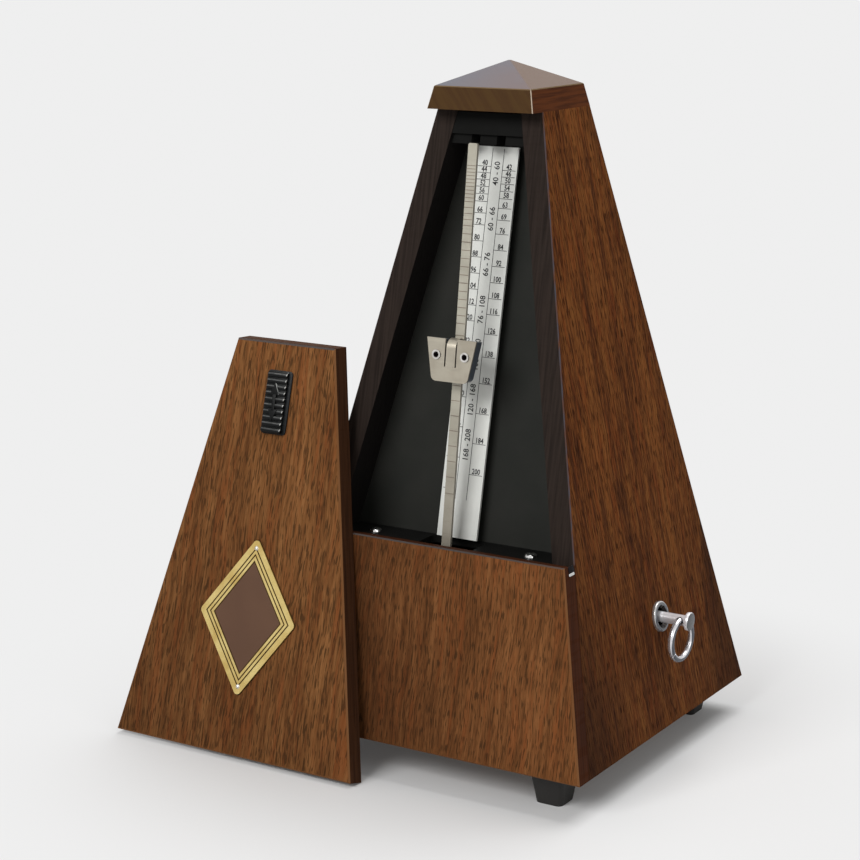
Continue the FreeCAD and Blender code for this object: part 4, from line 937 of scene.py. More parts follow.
@dataclass
class Studio:
    """Pale floor, soft light and the camera, all placed about the middle of the case."""

    pale: float = 0.862
    floor_tone: float = 0.76
    floor_bounce: float = 0.72
    floor_reach: float = 6.0
    floor_middle: Vector = Vector((0.0, -0.015, 0.0))
    floor_fade: tuple[float, float] = (0.07, 0.19)
    floor_least: float = 0.05
    sky: float = 0.30
    sky_tint: Rgba = (1.0, 0.99, 0.975, 1.0)
    lamps: tuple[Lamp, ...] = (Lamp("key", Vector((-0.25, -1.2, 0.95)), (0.8, 0.6), 13.0),
                               Lamp("top", Vector((0.10, 0.50, 1.30)), (1.0, 0.9), 12.0),
                               Lamp("fill", Vector((1.2, -0.5, 0.6)), (0.6, 0.8), 2.0))
    lamp_aim: Vector = Vector((0, 0, 0.09))
    camera_place: Vector = Vector((0.3316, -0.5838, 0.2519))
    camera_aim: Vector = Vector((-0.0165, -0.019, 0.100))
    lens: float = 92.0

    def backdrop(self) -> None:
        """Set the world: pale to the camera and in reflections, softer as light."""
        world = bpy.data.worlds.new("studio")
        bpy.context.scene.world = world
        world.use_nodes = True
        tree = world.node_tree
        tree.nodes.clear()
        path = tree.nodes.new("ShaderNodeLightPath")
        seen: Socket = path.outputs["Is Camera Ray"]
        for ray in ("Is Glossy Ray", "Is Transmission Ray"):
            either = tree.nodes.new("ShaderNodeMath")
            either.operation = "MAXIMUM"
            tree.links.new(seen, either.inputs[0])
            tree.links.new(path.outputs[ray], either.inputs[1])
            seen = either.outputs[0]
        lit = tree.nodes.new("ShaderNodeBackground")
        lit.inputs["Color"].default_value = self.sky_tint
        lit.inputs["Strength"].default_value = self.sky
        shown = tree.nodes.new("ShaderNodeBackground")
        shown.inputs["Color"].default_value = (self.pale, self.pale, self.pale, 1.0)
        mixed = tree.nodes.new("ShaderNodeMixShader")
        output = tree.nodes.new("ShaderNodeOutputWorld")
        tree.links.new(seen, mixed.inputs[0])
        tree.links.new(lit.outputs[0], mixed.inputs[1])
        tree.links.new(shown.outputs[0], mixed.inputs[2])
        tree.links.new(mixed.outputs[0], output.inputs["Surface"])

    def floor(self) -> bpy.types.Object:
        """Lay the floor: it takes shadows near the object and melts into the backdrop further out.

        Returns:
            The floor.
        """
        bpy.ops.mesh.primitive_circle_add(vertices=96, radius=self.floor_reach, fill_type="NGON")
        floor = bpy.context.object
        floor.name = "floor"
        recipe = Recipe("pale_floor")
        tree = recipe.tree
        path = tree.nodes.new("ShaderNodeLightPath")
        seen = path.outputs["Is Camera Ray"]
        tone = recipe.mix(seen, (self.floor_bounce,) * 3 + (1.0,), (self.floor_tone,) * 3 + (1.0,))
        recipe.shade(Base_Color=tone, Roughness=0.8, Specular_IOR_Level=0.0)
        glow = tree.nodes.new("ShaderNodeEmission")
        glow.inputs["Color"].default_value = (self.pale, self.pale, self.pale, 1.0)
        away = tree.nodes.new("ShaderNodeVectorMath")
        away.operation = "DISTANCE"
        recipe.feed(away.inputs[0], recipe.point)
        away.inputs[1].default_value = AXES.middle + self.floor_middle
        share = recipe.span(away.outputs["Value"], *self.floor_fade, self.floor_least, 1.0)
        share = recipe.times(share, seen)
        mixed = tree.nodes.new("ShaderNodeMixShader")
        recipe.feed(mixed.inputs[0], share)
        recipe.feed(mixed.inputs[1], recipe.shader.outputs["BSDF"])
        recipe.feed(mixed.inputs[2], glow.outputs[0])
        recipe.feed(recipe.output.inputs["Surface"], mixed.outputs[0])
        floor.data.materials.append(recipe.material)
        return floor

    def hung(self, name: str, data: bpy.types.ID, place: Vector, aim: Vector) -> bpy.types.Object:
        """Hang a lamp or the camera and turn it to what it looks at.

        Args:
            name: Name of the object.
            data: The lamp or the camera.
            place: Where it hangs, from the case's middle.
            aim: What it looks at, from the case's middle.

        Returns:
            The object.
        """
        thing = bpy.data.objects.new(name, data)
        bpy.context.scene.collection.objects.link(thing)
        thing.location = AXES.middle + place
        thing.rotation_euler = (aim - place).to_track_quat("-Z", "Y").to_euler()
        return thing

    def softbox(self, lamp: Lamp) -> None:
        """Hang one rectangular light.

        Args:
            lamp: What it is like.
        """
        light = bpy.data.lights.new(lamp.name, "AREA")
        light.shape = "RECTANGLE"
        light.size, light.size_y = lamp.size
        light.energy = lamp.power
        self.hung(lamp.name, light, lamp.place, self.lamp_aim)

    def camera(self) -> None:
        """Set up the camera."""
        lens = bpy.data.cameras.new("camera")
        lens.lens = self.lens
        lens.sensor_width = 36.0
        lens.clip_start = 0.01
        bpy.context.scene.camera = self.hung("camera", lens, self.camera_place, self.camera_aim)

    def build(self) -> None:
        """Build the whole stage."""
        bpy.context.scene.view_settings.view_transform = "Standard"
        self.backdrop()
        self.floor()
        for lamp in self.lamps:
            self.softbox(lamp)
        self.camera()
        LOG.info("stage is set")


# ---- Making and dressing --------------------------------------------------------------------
class Slot(Enum):
    """Names of the record's material slots, one for each kind of new piece; nothing here applies
    them.
    """

    PRINT = "black_board"
    NOTCH = "rod_metal"
    CATCH = "black_plastic"
    SCREW = "steel"
    KEY = "chrome"


@dataclass(frozen=True)
class Seat:
    """A flat place on the object: a point of it, and the directions right, up and out."""

    origin: Vector
    right: Vector
    up: Vector
    out: Vector

    def matrix(self, across: float, up: float, stretch: float = 1.0, quarter: int = 0) -> Matrix:
        """Place something on the seat.

        Args:
            across: Millimetres to the right.
            up: Millimetres up.
            stretch: How far it is stretched along its own width.
            quarter: Quarter turns to the left.

        Returns:
            The placing matrix.
        """
        turn = Matrix.Rotation(quarter * math.pi / 2, 4, "Z") @ Matrix.Diagonal((stretch, 1, 1, 1))
        spot = self.origin + (self.right * across + self.up * up) * MM
        axes = Matrix((self.right, self.up, self.out)).transposed().to_4x4()
        return Matrix.Translation(spot) @ axes @ turn


class Maker:
    """Dresses the frame's nodes and makes new pieces; lengths in millimetres."""

    print_thick: float = 0.02
    print_cut: float = 0.2
    digit_thick: float = 0.01
    digit_share: float = 0.69
    sharp: float = 50.0

    def dress(self, finish: Finish, *nodes: str) -> None:
        """Give nodes one material.

        Args:
            finish: What the material is like.
            *nodes: Names of the nodes.
        """
        material = finish.material()
        for name in nodes:
            target = frame["nodes"][name]
            target.data.materials.clear()
            target.data.materials.append(material)
            LOG.info("dressed %s in %s", name, material.name)

    def alone(self, piece: bpy.types.Object) -> None:
        """Select one piece only and make it the active one.

        Args:
            piece: The piece.
        """
        bpy.ops.object.select_all(action="DESELECT")
        piece.select_set(True)
        bpy.context.view_layer.objects.active = piece

    def outward(self) -> None:
        """Turn all faces of the mesh being edited outwards and leave edit mode."""
        bpy.ops.mesh.select_all(action="SELECT")
        bpy.ops.mesh.normals_make_consistent(inside=False)
        bpy.ops.object.mode_set(mode="OBJECT")

    def row(self, pattern: bpy.types.Object, places: Iterable[Matrix]) -> list[bpy.types.Object]:
        """Settle a copy of a pattern, mesh and all, in each place, and put the pattern away.

        Args:
            pattern: The pattern, drawn about the origin.
            places: Where the copies go.

        Returns:
            The copies.
        """
        made = []
        for place in places:
            copy = pattern.copy()
            copy.data = pattern.data.copy()
            bpy.context.scene.collection.objects.link(copy)
            made.append(self.settle(copy, place))
        bpy.data.objects.remove(pattern)
        return made

    def settle(self, piece: bpy.types.Object, place: Matrix) -> bpy.types.Object:
        """Put a piece in its place and write that place into its mesh.

        Args:
            piece: The piece, drawn about the origin.
            place: Where it goes.

        Returns:
            The piece.
        """
        self.alone(piece)
        piece.matrix_world = place
        bpy.ops.object.transform_apply(location=True, rotation=True, scale=True)
        return piece

    def bar(self, width: float, height: float) -> bpy.types.Object:
        """Make a thin printed bar with cut corners.

        Args:
            width: Millimetres across.
            height: Millimetres up.

        Returns:
            The bar, drawn about the origin.
        """
        bpy.ops.mesh.primitive_plane_add(size=1)
        piece = bpy.context.object
        piece.scale = (width * MM, height * MM, 1)
        bpy.ops.object.transform_apply(location=False, rotation=False, scale=True)
        bpy.ops.object.mode_set(mode="EDIT")
        bpy.ops.mesh.select_all(action="SELECT")
        bpy.ops.mesh.bevel(offset=min(width, height) * self.print_cut * MM, segments=1,
                           affect="VERTICES")
        bpy.ops.mesh.select_all(action="SELECT")
        step = {"value": (0, 0, self.print_thick * MM)}
        bpy.ops.mesh.extrude_region_move(TRANSFORM_OT_translate=step)
        self.outward()
        return piece

    def number(self, words: str, height: float, weight: float = 0.03) -> bpy.types.Object:
        """Make a flat number.

        Args:
            words: What it reads.
            height: Height of its digits in millimetres.
            weight: How far its strokes are thickened, in millimetres.

        Returns:
            The number as a mesh, its foot in the middle at the origin.
        """
        bpy.ops.object.text_add()
        piece = bpy.context.object
        text = piece.data
        text.body = words
        text.size = height * MM / self.digit_share
        text.align_x = "CENTER"
        text.align_y = "BOTTOM_BASELINE"
        text.resolution_u = 2
        text.offset = weight * MM
        text.extrude = self.digit_thick * MM
        bpy.ops.object.convert(target="MESH")
        return bpy.context.object

    def bevelled(self, piece: bpy.types.Object, width: float,
                 segments: int = 3) -> bpy.types.Object:
        """Round a piece's sharp edges with a modifier and apply it.

        Args:
            piece: The piece.
            width: Millimetres.
            segments: Faces around each edge.

        Returns:
            The piece.
        """
        self.alone(piece)
        bevel = piece.modifiers.new("rounding", "BEVEL")
        bevel.width = width * MM
        bevel.segments = segments
        bevel.limit_method = "ANGLE"
        bevel.angle_limit = math.radians(self.sharp)
        bpy.ops.object.modifier_apply(modifier=bevel.name)
        return piece

    def block(self, size: tuple[float, float], depths: tuple[float, float], corner: float,
              edge: float, middle: float = 0.0) -> bpy.types.Object:
        """Make a flat block with round corners.

        Args:
            size: Millimetres across and up.
            depths: Where it begins and ends, outwards.
            corner: Radius of its upright corners.
            edge: Rounding of its front and back edges.
            middle: Where its middle lies, up.

        Returns:
            The block.
        """
        bpy.ops.mesh.primitive_cube_add(size=1)
        piece = bpy.context.object
        piece.scale = Vector((size[0], size[1], depths[1] - depths[0])) * MM
        piece.location = Vector((0, middle, sum(depths) / 2)) * MM
        bpy.ops.object.transform_apply(location=True, rotation=True, scale=True)
        bpy.ops.object.mode_set(mode="EDIT")
        bpy.ops.mesh.select_mode(type="EDGE")
        bpy.ops.mesh.select_all(action="DESELECT")
        bpy.ops.object.mode_set(mode="OBJECT")
        self.pick(piece)
        bpy.ops.object.mode_set(mode="EDIT")
        bpy.ops.mesh.bevel(offset=corner * MM, segments=4, affect="EDGES")
        bpy.ops.object.mode_set(mode="OBJECT")
        return self.bevelled(piece, edge, 2)

    def pick(self, piece: bpy.types.Object) -> None:
        """Select only a piece's edges that run outwards.

        Args:
            piece: The piece, in object mode.
        """
        mesh = piece.data
        for group in (mesh.polygons, mesh.edges, mesh.vertices):
            group.foreach_set("select", [False] * len(group))
        for line in mesh.edges:
            first, second = (mesh.vertices[number].co for number in line.vertices)
            line.select = abs((first - second).normalized().z) > 0.9

    def cut(self, piece: bpy.types.Object, drill: bpy.types.Object) -> bpy.types.Object:
        """Cut one shape out of a piece and put the shape away.

        Args:
            piece: The piece.
            drill: The shape.

        Returns:
            The piece.
        """
        self.alone(piece)
        bore = piece.modifiers.new("bore", "BOOLEAN")
        bore.operation = "DIFFERENCE"
        bore.object = drill
        bpy.ops.object.modifier_apply(modifier=bore.name)
        bpy.data.objects.remove(drill)
        return piece

    def drill(self, radius: float, length: float, centre: Vector,
              axis: Vector) -> bpy.types.Object:
        """Make a round drill.

        Args:
            radius: Millimetres.
            length: Millimetres.
            centre: Its middle, in millimetres.
            axis: The way it points.

        Returns:
            The drill.
        """
        turn = axis.to_track_quat("Z", "Y").to_euler()
        bpy.ops.mesh.primitive_cylinder_add(vertices=32, radius=radius * MM, depth=length * MM,
                                            location=centre * MM, rotation=turn)
        return bpy.context.object

    def turned(self, outline: Sequence[tuple[float, float]], around: int = 40) -> bpy.types.Object:
        """Turn a piece about the X axis, step by step along its outline.

        Args:
            outline: Lengths along the axis and radii there, in millimetres.
            around: Faces around it.

        Returns:
            The piece, drawn about the origin.
        """
        last, radius = outline[0]
        bpy.ops.mesh.primitive_circle_add(vertices=around, radius=radius * MM, fill_type="NGON",
                                          location=(last * MM, 0, 0), rotation=(0, math.pi / 2, 0))
        piece = bpy.context.object
        bpy.ops.object.transform_apply(location=True, rotation=True, scale=True)
        bpy.ops.object.mode_set(mode="EDIT")
        bpy.ops.mesh.select_mode(type="FACE")
        bpy.ops.mesh.select_all(action="SELECT")
        for length, wide in outline[1:]:
            step = {"value": ((length - last) * MM, 0, 0)}
            bpy.ops.mesh.extrude_region_move(TRANSFORM_OT_translate=step)
            bpy.ops.transform.resize(value=(1, wide / radius, wide / radius),
                                     center_override=(length * MM, 0, 0))
            last, radius = length, wide
        self.outward()
        return piece

    def joined(self, pieces: Sequence[bpy.types.Object], name: str, material: bpy.types.Material,
               body: str, slot: Slot) -> bpy.types.Object:
        """Join pieces into one, dress it and let it ride on a body.

        Args:
            pieces: What is joined.
            name: Name of the whole.
            material: Its finish.
            body: The body that it rides on.
            slot: The record's slot for its finish; not used.

        Returns:
            The whole.
        """
        bpy.ops.object.select_all(action="DESELECT")
        for piece in pieces:
            piece.select_set(True)
        bpy.context.view_layer.objects.active = pieces[0]
        bpy.ops.object.join()
        whole = bpy.context.object
        whole.name = name
        whole.data.materials.clear()
        whole.data.materials.append(material)
        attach(whole, body)
        LOG.info("made %s of %d pieces", name, len(pieces))
        return whole


def beat_height(tempo: int) -> float:
    """Distance of the weight's upper edge above the pendulum's pivot at a tempo.

    Args:
        tempo: Beats in a minute.

    Returns:
        The distance in millimetres.
    """
    drive, reach, spread = 3.78165e6, 137.425, 8699.72
    square = tempo ** 2
    root = math.sqrt(drive ** 2 - 4 * square * (square * spread - drive * reach))
    return (root - drive) / (2 * square)


@dataclass
class Case(Maker):
    """The wooden case with its cap and feet, and the dark recess in its front."""

    shelf_head: float = 2.7
    shelf_rise: float = 1.1
    screw_head: float = 2.0
    screw_rise: float = 1.05
    screw_shank: float = 1.5
    screw_slot: float = 0.5
    dome: tuple[tuple[float, float], ...] = ((0.0, 1.0), (0.45, 0.94), (0.8, 0.72), (1.0, 0.4))
    plate_size: tuple[float, float] = (3.2, 0.8)
    plate_behind: float = 4.0
    plate_below: float = 2.5
    plate_proud: float = 0.18
    plate_sunk: float = 0.1
    plate_corner: float = 0.3
    plate_edge: float = 0.05
    # Dark plates that paint the shade of a notch above the end plates.
    rebate_size: tuple[float, float] = (3.2, 1.9)
    rebate_below: float = 1.1

    def build(self) -> None:
        """Dress every part of the case."""
        self.panels()
        self.dress(CapLacquer(), "roof_cap")
        self.dress(Painted("board_black", srgb(35, 36, 33), srgb(41, 41, 38), 0.6, 0.1),
                   "backboard", "scale_carrier")
        self.dress(Painted("inner_black", srgb(19, 19, 18), srgb(24, 24, 23), 0.5, 0.03),
                   "shelf", "shelf_brackets", "pendulum_rest", "top_block")
        self.dress(Painted("raw_board", srgb(120, 88, 58), srgb(100, 70, 44), 0.7), "base_board")
        self.dress(Painted("foot_black", srgb(38, 36, 34), srgb(46, 44, 42), 0.5, 0.35),
                   "foot_front_left", "foot_front_right", "foot_rear_left", "foot_rear_right")
        self.dress(Metal("zinc_screws", srgb(205, 204, 198), srgb(180, 178, 172), 0.3, shine=0.75),
                   "foot_screws", "movement_screws")
        self.ledge_screws()

    def ledge_screws(self) -> None:
        """Make the two small round-headed screws of the ledge, the plates beside it, and dark
        plates of painted shade above those.
        """
        low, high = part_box("shelf_screws")
        half = (high[0] - low[0]) / 2 - self.shelf_head * MM
        middle = middle_of("shelf_screws")
        middle.z = high[2] - self.shelf_rise * MM
        shank = (high[2] - low[2]) / MM - self.shelf_rise
        bright = Metal("screw_bright", srgb(232, 232, 230), srgb(206, 206, 204), 0.16, depth=0.002)
        made = self.row(self.screw(self.screw_head, self.screw_rise, shank),
                        [Matrix.Translation(middle + side * half * RIGHT) for side in (-1, 1)])
        screws = self.joined(made, "ledge_screws", bright.material(), "case", Slot.SCREW)
        bpy.ops.object.shade_smooth_by_angle(angle=math.radians(35))
        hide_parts("shelf_screws")
        self.end_plates("seat_plates", self.plate_size, self.plate_below, bright.material(),
                        Slot.SCREW)
        # Dark plates that paint the shade of a notch above the bright plates.
        notch_shade = Painted("notch_shade_dark", srgb(24, 22, 24), srgb(32, 29, 31), 0.6, 0.05)
        self.end_plates("seat_shade_plates", self.rebate_size, self.rebate_below, notch_shade.material(),
                        Slot.CATCH)

    def end_plates(self, name: str, size: tuple[float, float], below: float,
                   material: bpy.types.Material, slot: Slot) -> None:
        """Make a pair of small plates let into the ends of the lower front, near its top.

        Args:
            name: Name of the pair.
            size: Millimetres across and up.
            below: How far under the top their middle lies.
            material: Their finish.
            slot: Material slot of the record.
        """
        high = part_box("lower_front_panel")[1][2]
        depth = reach_of("lower_front_panel", AXES.front) - self.plate_behind * MM
        made = []
        for sign in (-1, 1):
            out, up = AXES.side(sign), AXES.side_up(sign)
            planes = Matrix((out, AXES.front, UPWARD))
            reach = reach_of("lower_front_panel", out)
            place = planes.inverted() @ Vector((reach, depth, high - below * MM))
            plate = self.block(size, (-self.plate_sunk, self.plate_proud), self.plate_corner,
                               self.plate_edge)
            made.append(self.settle(plate, Seat(place, up.cross(out), up, out).matrix(0.0, 0.0)))
        self.joined(made, name, material, "case", slot)
        bpy.ops.object.shade_smooth_by_angle(angle=math.radians(35))

    def screw(self, head: float, rise: float, shank: float) -> bpy.types.Object:
        """Make a slotted screw with a domed head, its seat at the origin.

        Args:
            head: Radius of the head.
            rise: Height of the head.
            shank: Length of the shank.

        Returns:
            The screw.
        """
        outline = [(-shank, self.screw_shank), (0.0, self.screw_shank)]
        outline += [(rise * high, head * wide) for high, wide in self.dome]
        piece = self.turned(outline, 32)
        piece.rotation_euler = (0, -math.pi / 2, 0)
        self.alone(piece)
        bpy.ops.object.transform_apply(location=False, rotation=True, scale=False)
        slot = self.block((self.screw_slot, 3 * head), (rise * 0.55, rise * 2), 0.1, 0.05)
        return self.cut(piece, slot)

    def panels(self) -> None:
        """Dress the veneered panels."""
        corner = furthest("lower_front_panel", Vector((-1, 0, -1)).normalized())
        # Painted shade, darker towards the lower left of the front.
        lower_left = Stain(Vector((0.91, 0, 0.41)), corner, -5.0, 112.0, 0.66)
        front = Veneer("veneer_front", AXES.front, RIGHT, AXES.front_up, seed=3.0,
                       stains=(lower_left,), light=srgb(133, 87, 51), middle=srgb(109, 69, 39),
                       dark=srgb(82, 50, 27), edge=srgb(70, 38, 22), edge_dark=srgb(54, 29, 18),
                       edge_up=AXES.side_up(1), edge_across=AXES.front)
        self.dress(front, "lower_front_panel")
        streaky = Grain(band=(9.0, 160.0), streak=(1.0, 20.0), fibre=(0.40, 7.0), pore=(0.38, 3.6),
                        pore_share=0.55, contrast=2.1, wander=1.0)
        low_front = (-AXES.front + 0.42 * UPWARD).normalized()
        foot = furthest("side_panel_right", -low_front)
        rear = furthest("side_panel_right", AXES.back)
        rear_foot = furthest("side_panel_right", Vector((0, 1, -1)).normalized())
        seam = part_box("lower_front_panel")[1][2] / MM
        for sign, name in ((-1, "left"), (1, "right")):
            # Painted shade strips: along the back edge, the low front, towards the foot and near
            # the rear foot.
            stains = (Stain(-AXES.back, rear, 3.0, 9.0, 0.2),
                      Stain(low_front, foot, 0.0, 42.0, 0.72),
                      Stain(UPWARD, foot, 0.0, 105.0, 0.22),
                      Stain(Vector((0, -0.988, 0.153)), rear_foot, 19.0, 23.0, 0.5))
            # The sides' worked edges carry a bluish-grey painted highlight above the seam and turn
            # dark below it.
            side = Veneer("veneer_side_" + name, AXES.side(sign), BACKWARD, AXES.side_up(sign),
                          light=srgb(129, 80, 39), middle=srgb(103, 60, 28), dark=srgb(67, 36, 18),
                          warm=srgb(122, 62, 27), pore=srgb(36, 19, 10), edge=srgb(49, 41, 37),
                          edge_dark=srgb(37, 31, 28), edge_up=AXES.front_up, worn=srgb(74, 73, 80),
                          worn_top=srgb(74, 73, 80), worn_from=seam, stains=stains, grain=streaky,
                          seed=11.0 + sign)
            self.dress(side, "side_panel_" + name)
        back = Veneer("veneer_back", AXES.back, RIGHT, AXES.back_up, grain=streaky, seed=19.0,
                      light=srgb(118, 76, 44), middle=srgb(96, 58, 33), dark=srgb(64, 37, 22))
        self.dress(back, "back_panel")


@dataclass
class TempoScale(Maker):
    """Tempo plate with its numbers, ticks and column lines."""

    columns: tuple[float, float] = (-2.0, 2.0)
    edge_gap: float = 0.45
    line: float = 0.16
    proud: float = 0.03
    digit: float = 1.6
    digit_weight: float = 0.05
    digit_rise: float = 0.3
    digit_narrow: float = 0.82
    range_inset: float = 2.0
    range_size: float = 1.15
    range_middle: float = 0.58
    range_narrow: float = 0.95
    rule_short: float = 0.6
    rule_foot: float = 3.0
    right_tempos: tuple[int, ...] = (42, 46, 50, 54, 58, 63, 69, 76, 84, 92, 100, 108, 116, 126,
                                     138, 152, 168, 184, 200)
    left_tempos: tuple[int, ...] = (40, 44, 48, 52, 56, 60, 66, 72, 80, 88, 96, 104, 112, 120,
                                    132, 144, 160, 176, 192, 208)
    ranges: tuple[tuple[int, int], ...] = ((40, 60), (60, 66), (66, 76), (76, 108), (108, 120),
                                           (120, 168), (168, 208))

    def build(self) -> None:
        """Dress the plate and print it."""
        self.dress(Metal("scale_silver", srgb(216, 217, 212), srgb(210, 211, 206), 0.55,
                         (900.0, 900.0, 40.0), 0.001, 0.1), "tempo_scale")
        seat = self.seat()
        pieces = self.ticks(seat) + self.numbers(seat) + self.rules(seat)
        ink = Painted("scale_ink", srgb(30, 30, 32), srgb(44, 44, 46), 0.6, 0.1)
        self.joined(pieces, "scale_marks", ink.material(), "case", Slot.PRINT)

    def seat(self) -> Seat:
        """Find the plate's face; the seat's origin is level with the pendulum's pivot.

        Returns:
            The seat.
        """
        face = furthest("tempo_scale", AXES.front)
        drop = (joint_point("pendulum_swing").z - face.z) / AXES.front_up.z
        face.x = middle_of("tempo_scale").x
        origin = face + AXES.front_up * drop
        return Seat(origin + AXES.front * self.proud * MM, RIGHT, AXES.front_up, AXES.front)

    def half(self) -> float:
        """Half of the plate's width in millimetres."""
        low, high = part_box("tempo_scale")
        return (high[0] - low[0]) / 2 / MM

    def rows(self) -> list[tuple[float, int]]:
        """Find where every tempo stands.

        Returns:
            Millimetres to the right, and the tempo: the right column and then the left one.
        """
        centre = (self.half() - self.edge_gap + self.columns[1]) / 2
        columns = ((centre, self.right_tempos), (-centre, self.left_tempos))
        return [(across, tempo) for across, tempos in columns for tempo in tempos]

    def ticks(self, seat: Seat) -> list[bpy.types.Object]:
        """Draw one line under each number.

        Args:
            seat: Face of the plate.

        Returns:
            The lines.
        """
        width = self.half() - self.edge_gap - self.columns[1]
        return self.row(self.bar(width, self.line),
                        [seat.matrix(across, beat_height(tempo)) for across, tempo in self.rows()])

    def numbers(self, seat: Seat) -> list[bpy.types.Object]:
        """Set the numbers over their lines, and the ranges up the middle.

        Args:
            seat: Face of the plate.

        Returns:
            The numbers.
        """
        made = []
        for across, tempo in self.rows():
            digits = self.number(str(tempo), self.digit, self.digit_weight)
            place = seat.matrix(across, beat_height(tempo) + self.digit_rise, self.digit_narrow)
            made.append(self.settle(digits, place))
        top = beat_height(min(self.left_tempos)) - self.range_inset
        step = (top - beat_height(max(self.left_tempos))) / len(self.ranges)
        for number, (low, high) in enumerate(self.ranges):
            words = self.number(f"{low} - {high}", self.digit * self.range_size)
            place = seat.matrix(self.digit * self.range_middle, top - number * step,
                                self.range_narrow, 1)
            made.append(self.settle(words, place))
        return made

    def rules(self, seat: Seat) -> list[bpy.types.Object]:
        """Draw the two lines between the columns.

        Args:
            seat: Face of the plate.

        Returns:
            The lines.
        """
        top = furthest("tempo_scale", AXES.front_up)
        high = (top - seat.origin).dot(AXES.front_up) / MM - self.rule_short
        low = beat_height(max(self.left_tempos)) - self.rule_foot
        return [self.settle(self.bar(self.line, high - low), seat.matrix(x, (low + high) / 2))
                for x in self.columns]


@dataclass
class Pendulum(Maker):
    """Rod with its notches, sliding weight, hub and bob."""

    notch: float = 0.22
    notch_short: float = 0.15
    notch_proud: float = 0.01

    def build(self) -> None:
        """Dress the pendulum and mark its notches."""
        # The rod is darker towards its foot: painted shade.
        self.dress(Metal("nickel_rod", srgb(176, 172, 158), srgb(162, 157, 143), 0.4, shine=0.4,
                         tarnish=srgb(112, 102, 90), tarnish_share=0.6), "pendulum_rod")
        self.dress(Metal("weight_champagne", srgb(172, 165, 150), srgb(158, 150, 135), 0.38,
                         shine=0.6), "weight_face", "weight_tongue")
        self.dress(TubeRivets(), "weight_rivets")
        self.dress(Metal("screw_steel", srgb(215, 214, 210), srgb(190, 189, 185), 0.2),
                   "rod_screws", "verge_arbor")
        self.dress(Painted("weight_side", srgb(74, 79, 85), srgb(60, 65, 71), 0.4, 0.3),
                   "weight_body")
        self.dress(Metal("bob_lead", srgb(120, 120, 122), srgb(96, 96, 99), 0.5), "counterweight")
        self.dress(Metal("hub_brass", srgb(196, 160, 92), srgb(170, 134, 72), 0.3),
                   "pendulum_hub", "pallets")
        self.notches()

    def notches(self) -> None:
        """Mark the rod at every tempo."""
        face = furthest("pendulum_rod", AXES.rod_front)
        low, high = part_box("pendulum_rod")
        rise = (joint_point("pendulum_swing") - face).dot(AXES.rod_up)
        face.x = (low[0] + high[0]) / 2
        origin = face + AXES.rod_up * rise + AXES.rod_front * self.notch_proud * MM
        seat = Seat(origin, RIGHT, AXES.rod_up, AXES.rod_front)
        tempos = sorted(TempoScale.left_tempos + TempoScale.right_tempos)
        made = self.row(self.bar((high[0] - low[0]) / MM - self.notch_short, self.notch),
                        [seat.matrix(0.0, beat_height(tempo)) for tempo in tempos])
        dull = Metal("rod_notch", srgb(128, 116, 104), srgb(112, 100, 90), 0.5, shine=0.4)
        self.joined(made, "rod_notches", dull.material(), "pendulum", Slot.NOTCH)


@dataclass
class Movement(Maker):
    """Clockwork between its two plates, and the ring that its key goes through."""

    hole_share: float = 0.72

    def build(self) -> None:
        """Dress the movement."""
        self.dress(Metal("plate_brass", srgb(196, 160, 92), srgb(172, 136, 74), 0.34),
                   "movement_plate_left", "movement_plate_right", "front_bridge", "rear_cock",
                   "escape_bridge", "verge_bushes", "great_wheel", "second_wheel", "crown_wheel")
        self.dress(Metal("arbor_steel", srgb(186, 186, 186), srgb(160, 160, 161), 0.25),
                   "movement_pillars", "pillar_nuts", "ratchet_wheel", "click", "click_screw",
                   "winding_arbor", "second_arbor", "crown_arbor")
        self.dress(Metal("spring_blue", srgb(92, 98, 116), srgb(70, 74, 90), 0.3),
                   "mainspring", "click_spring")
        low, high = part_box("key_escutcheon")
        hole = (high[1] - low[1]) / 2 / MM * self.hole_share
        # The escutcheon's hole gets painted shade.
        self.dress(KeyMetal("escutcheon_chrome", hole=hole), "key_escutcheon")


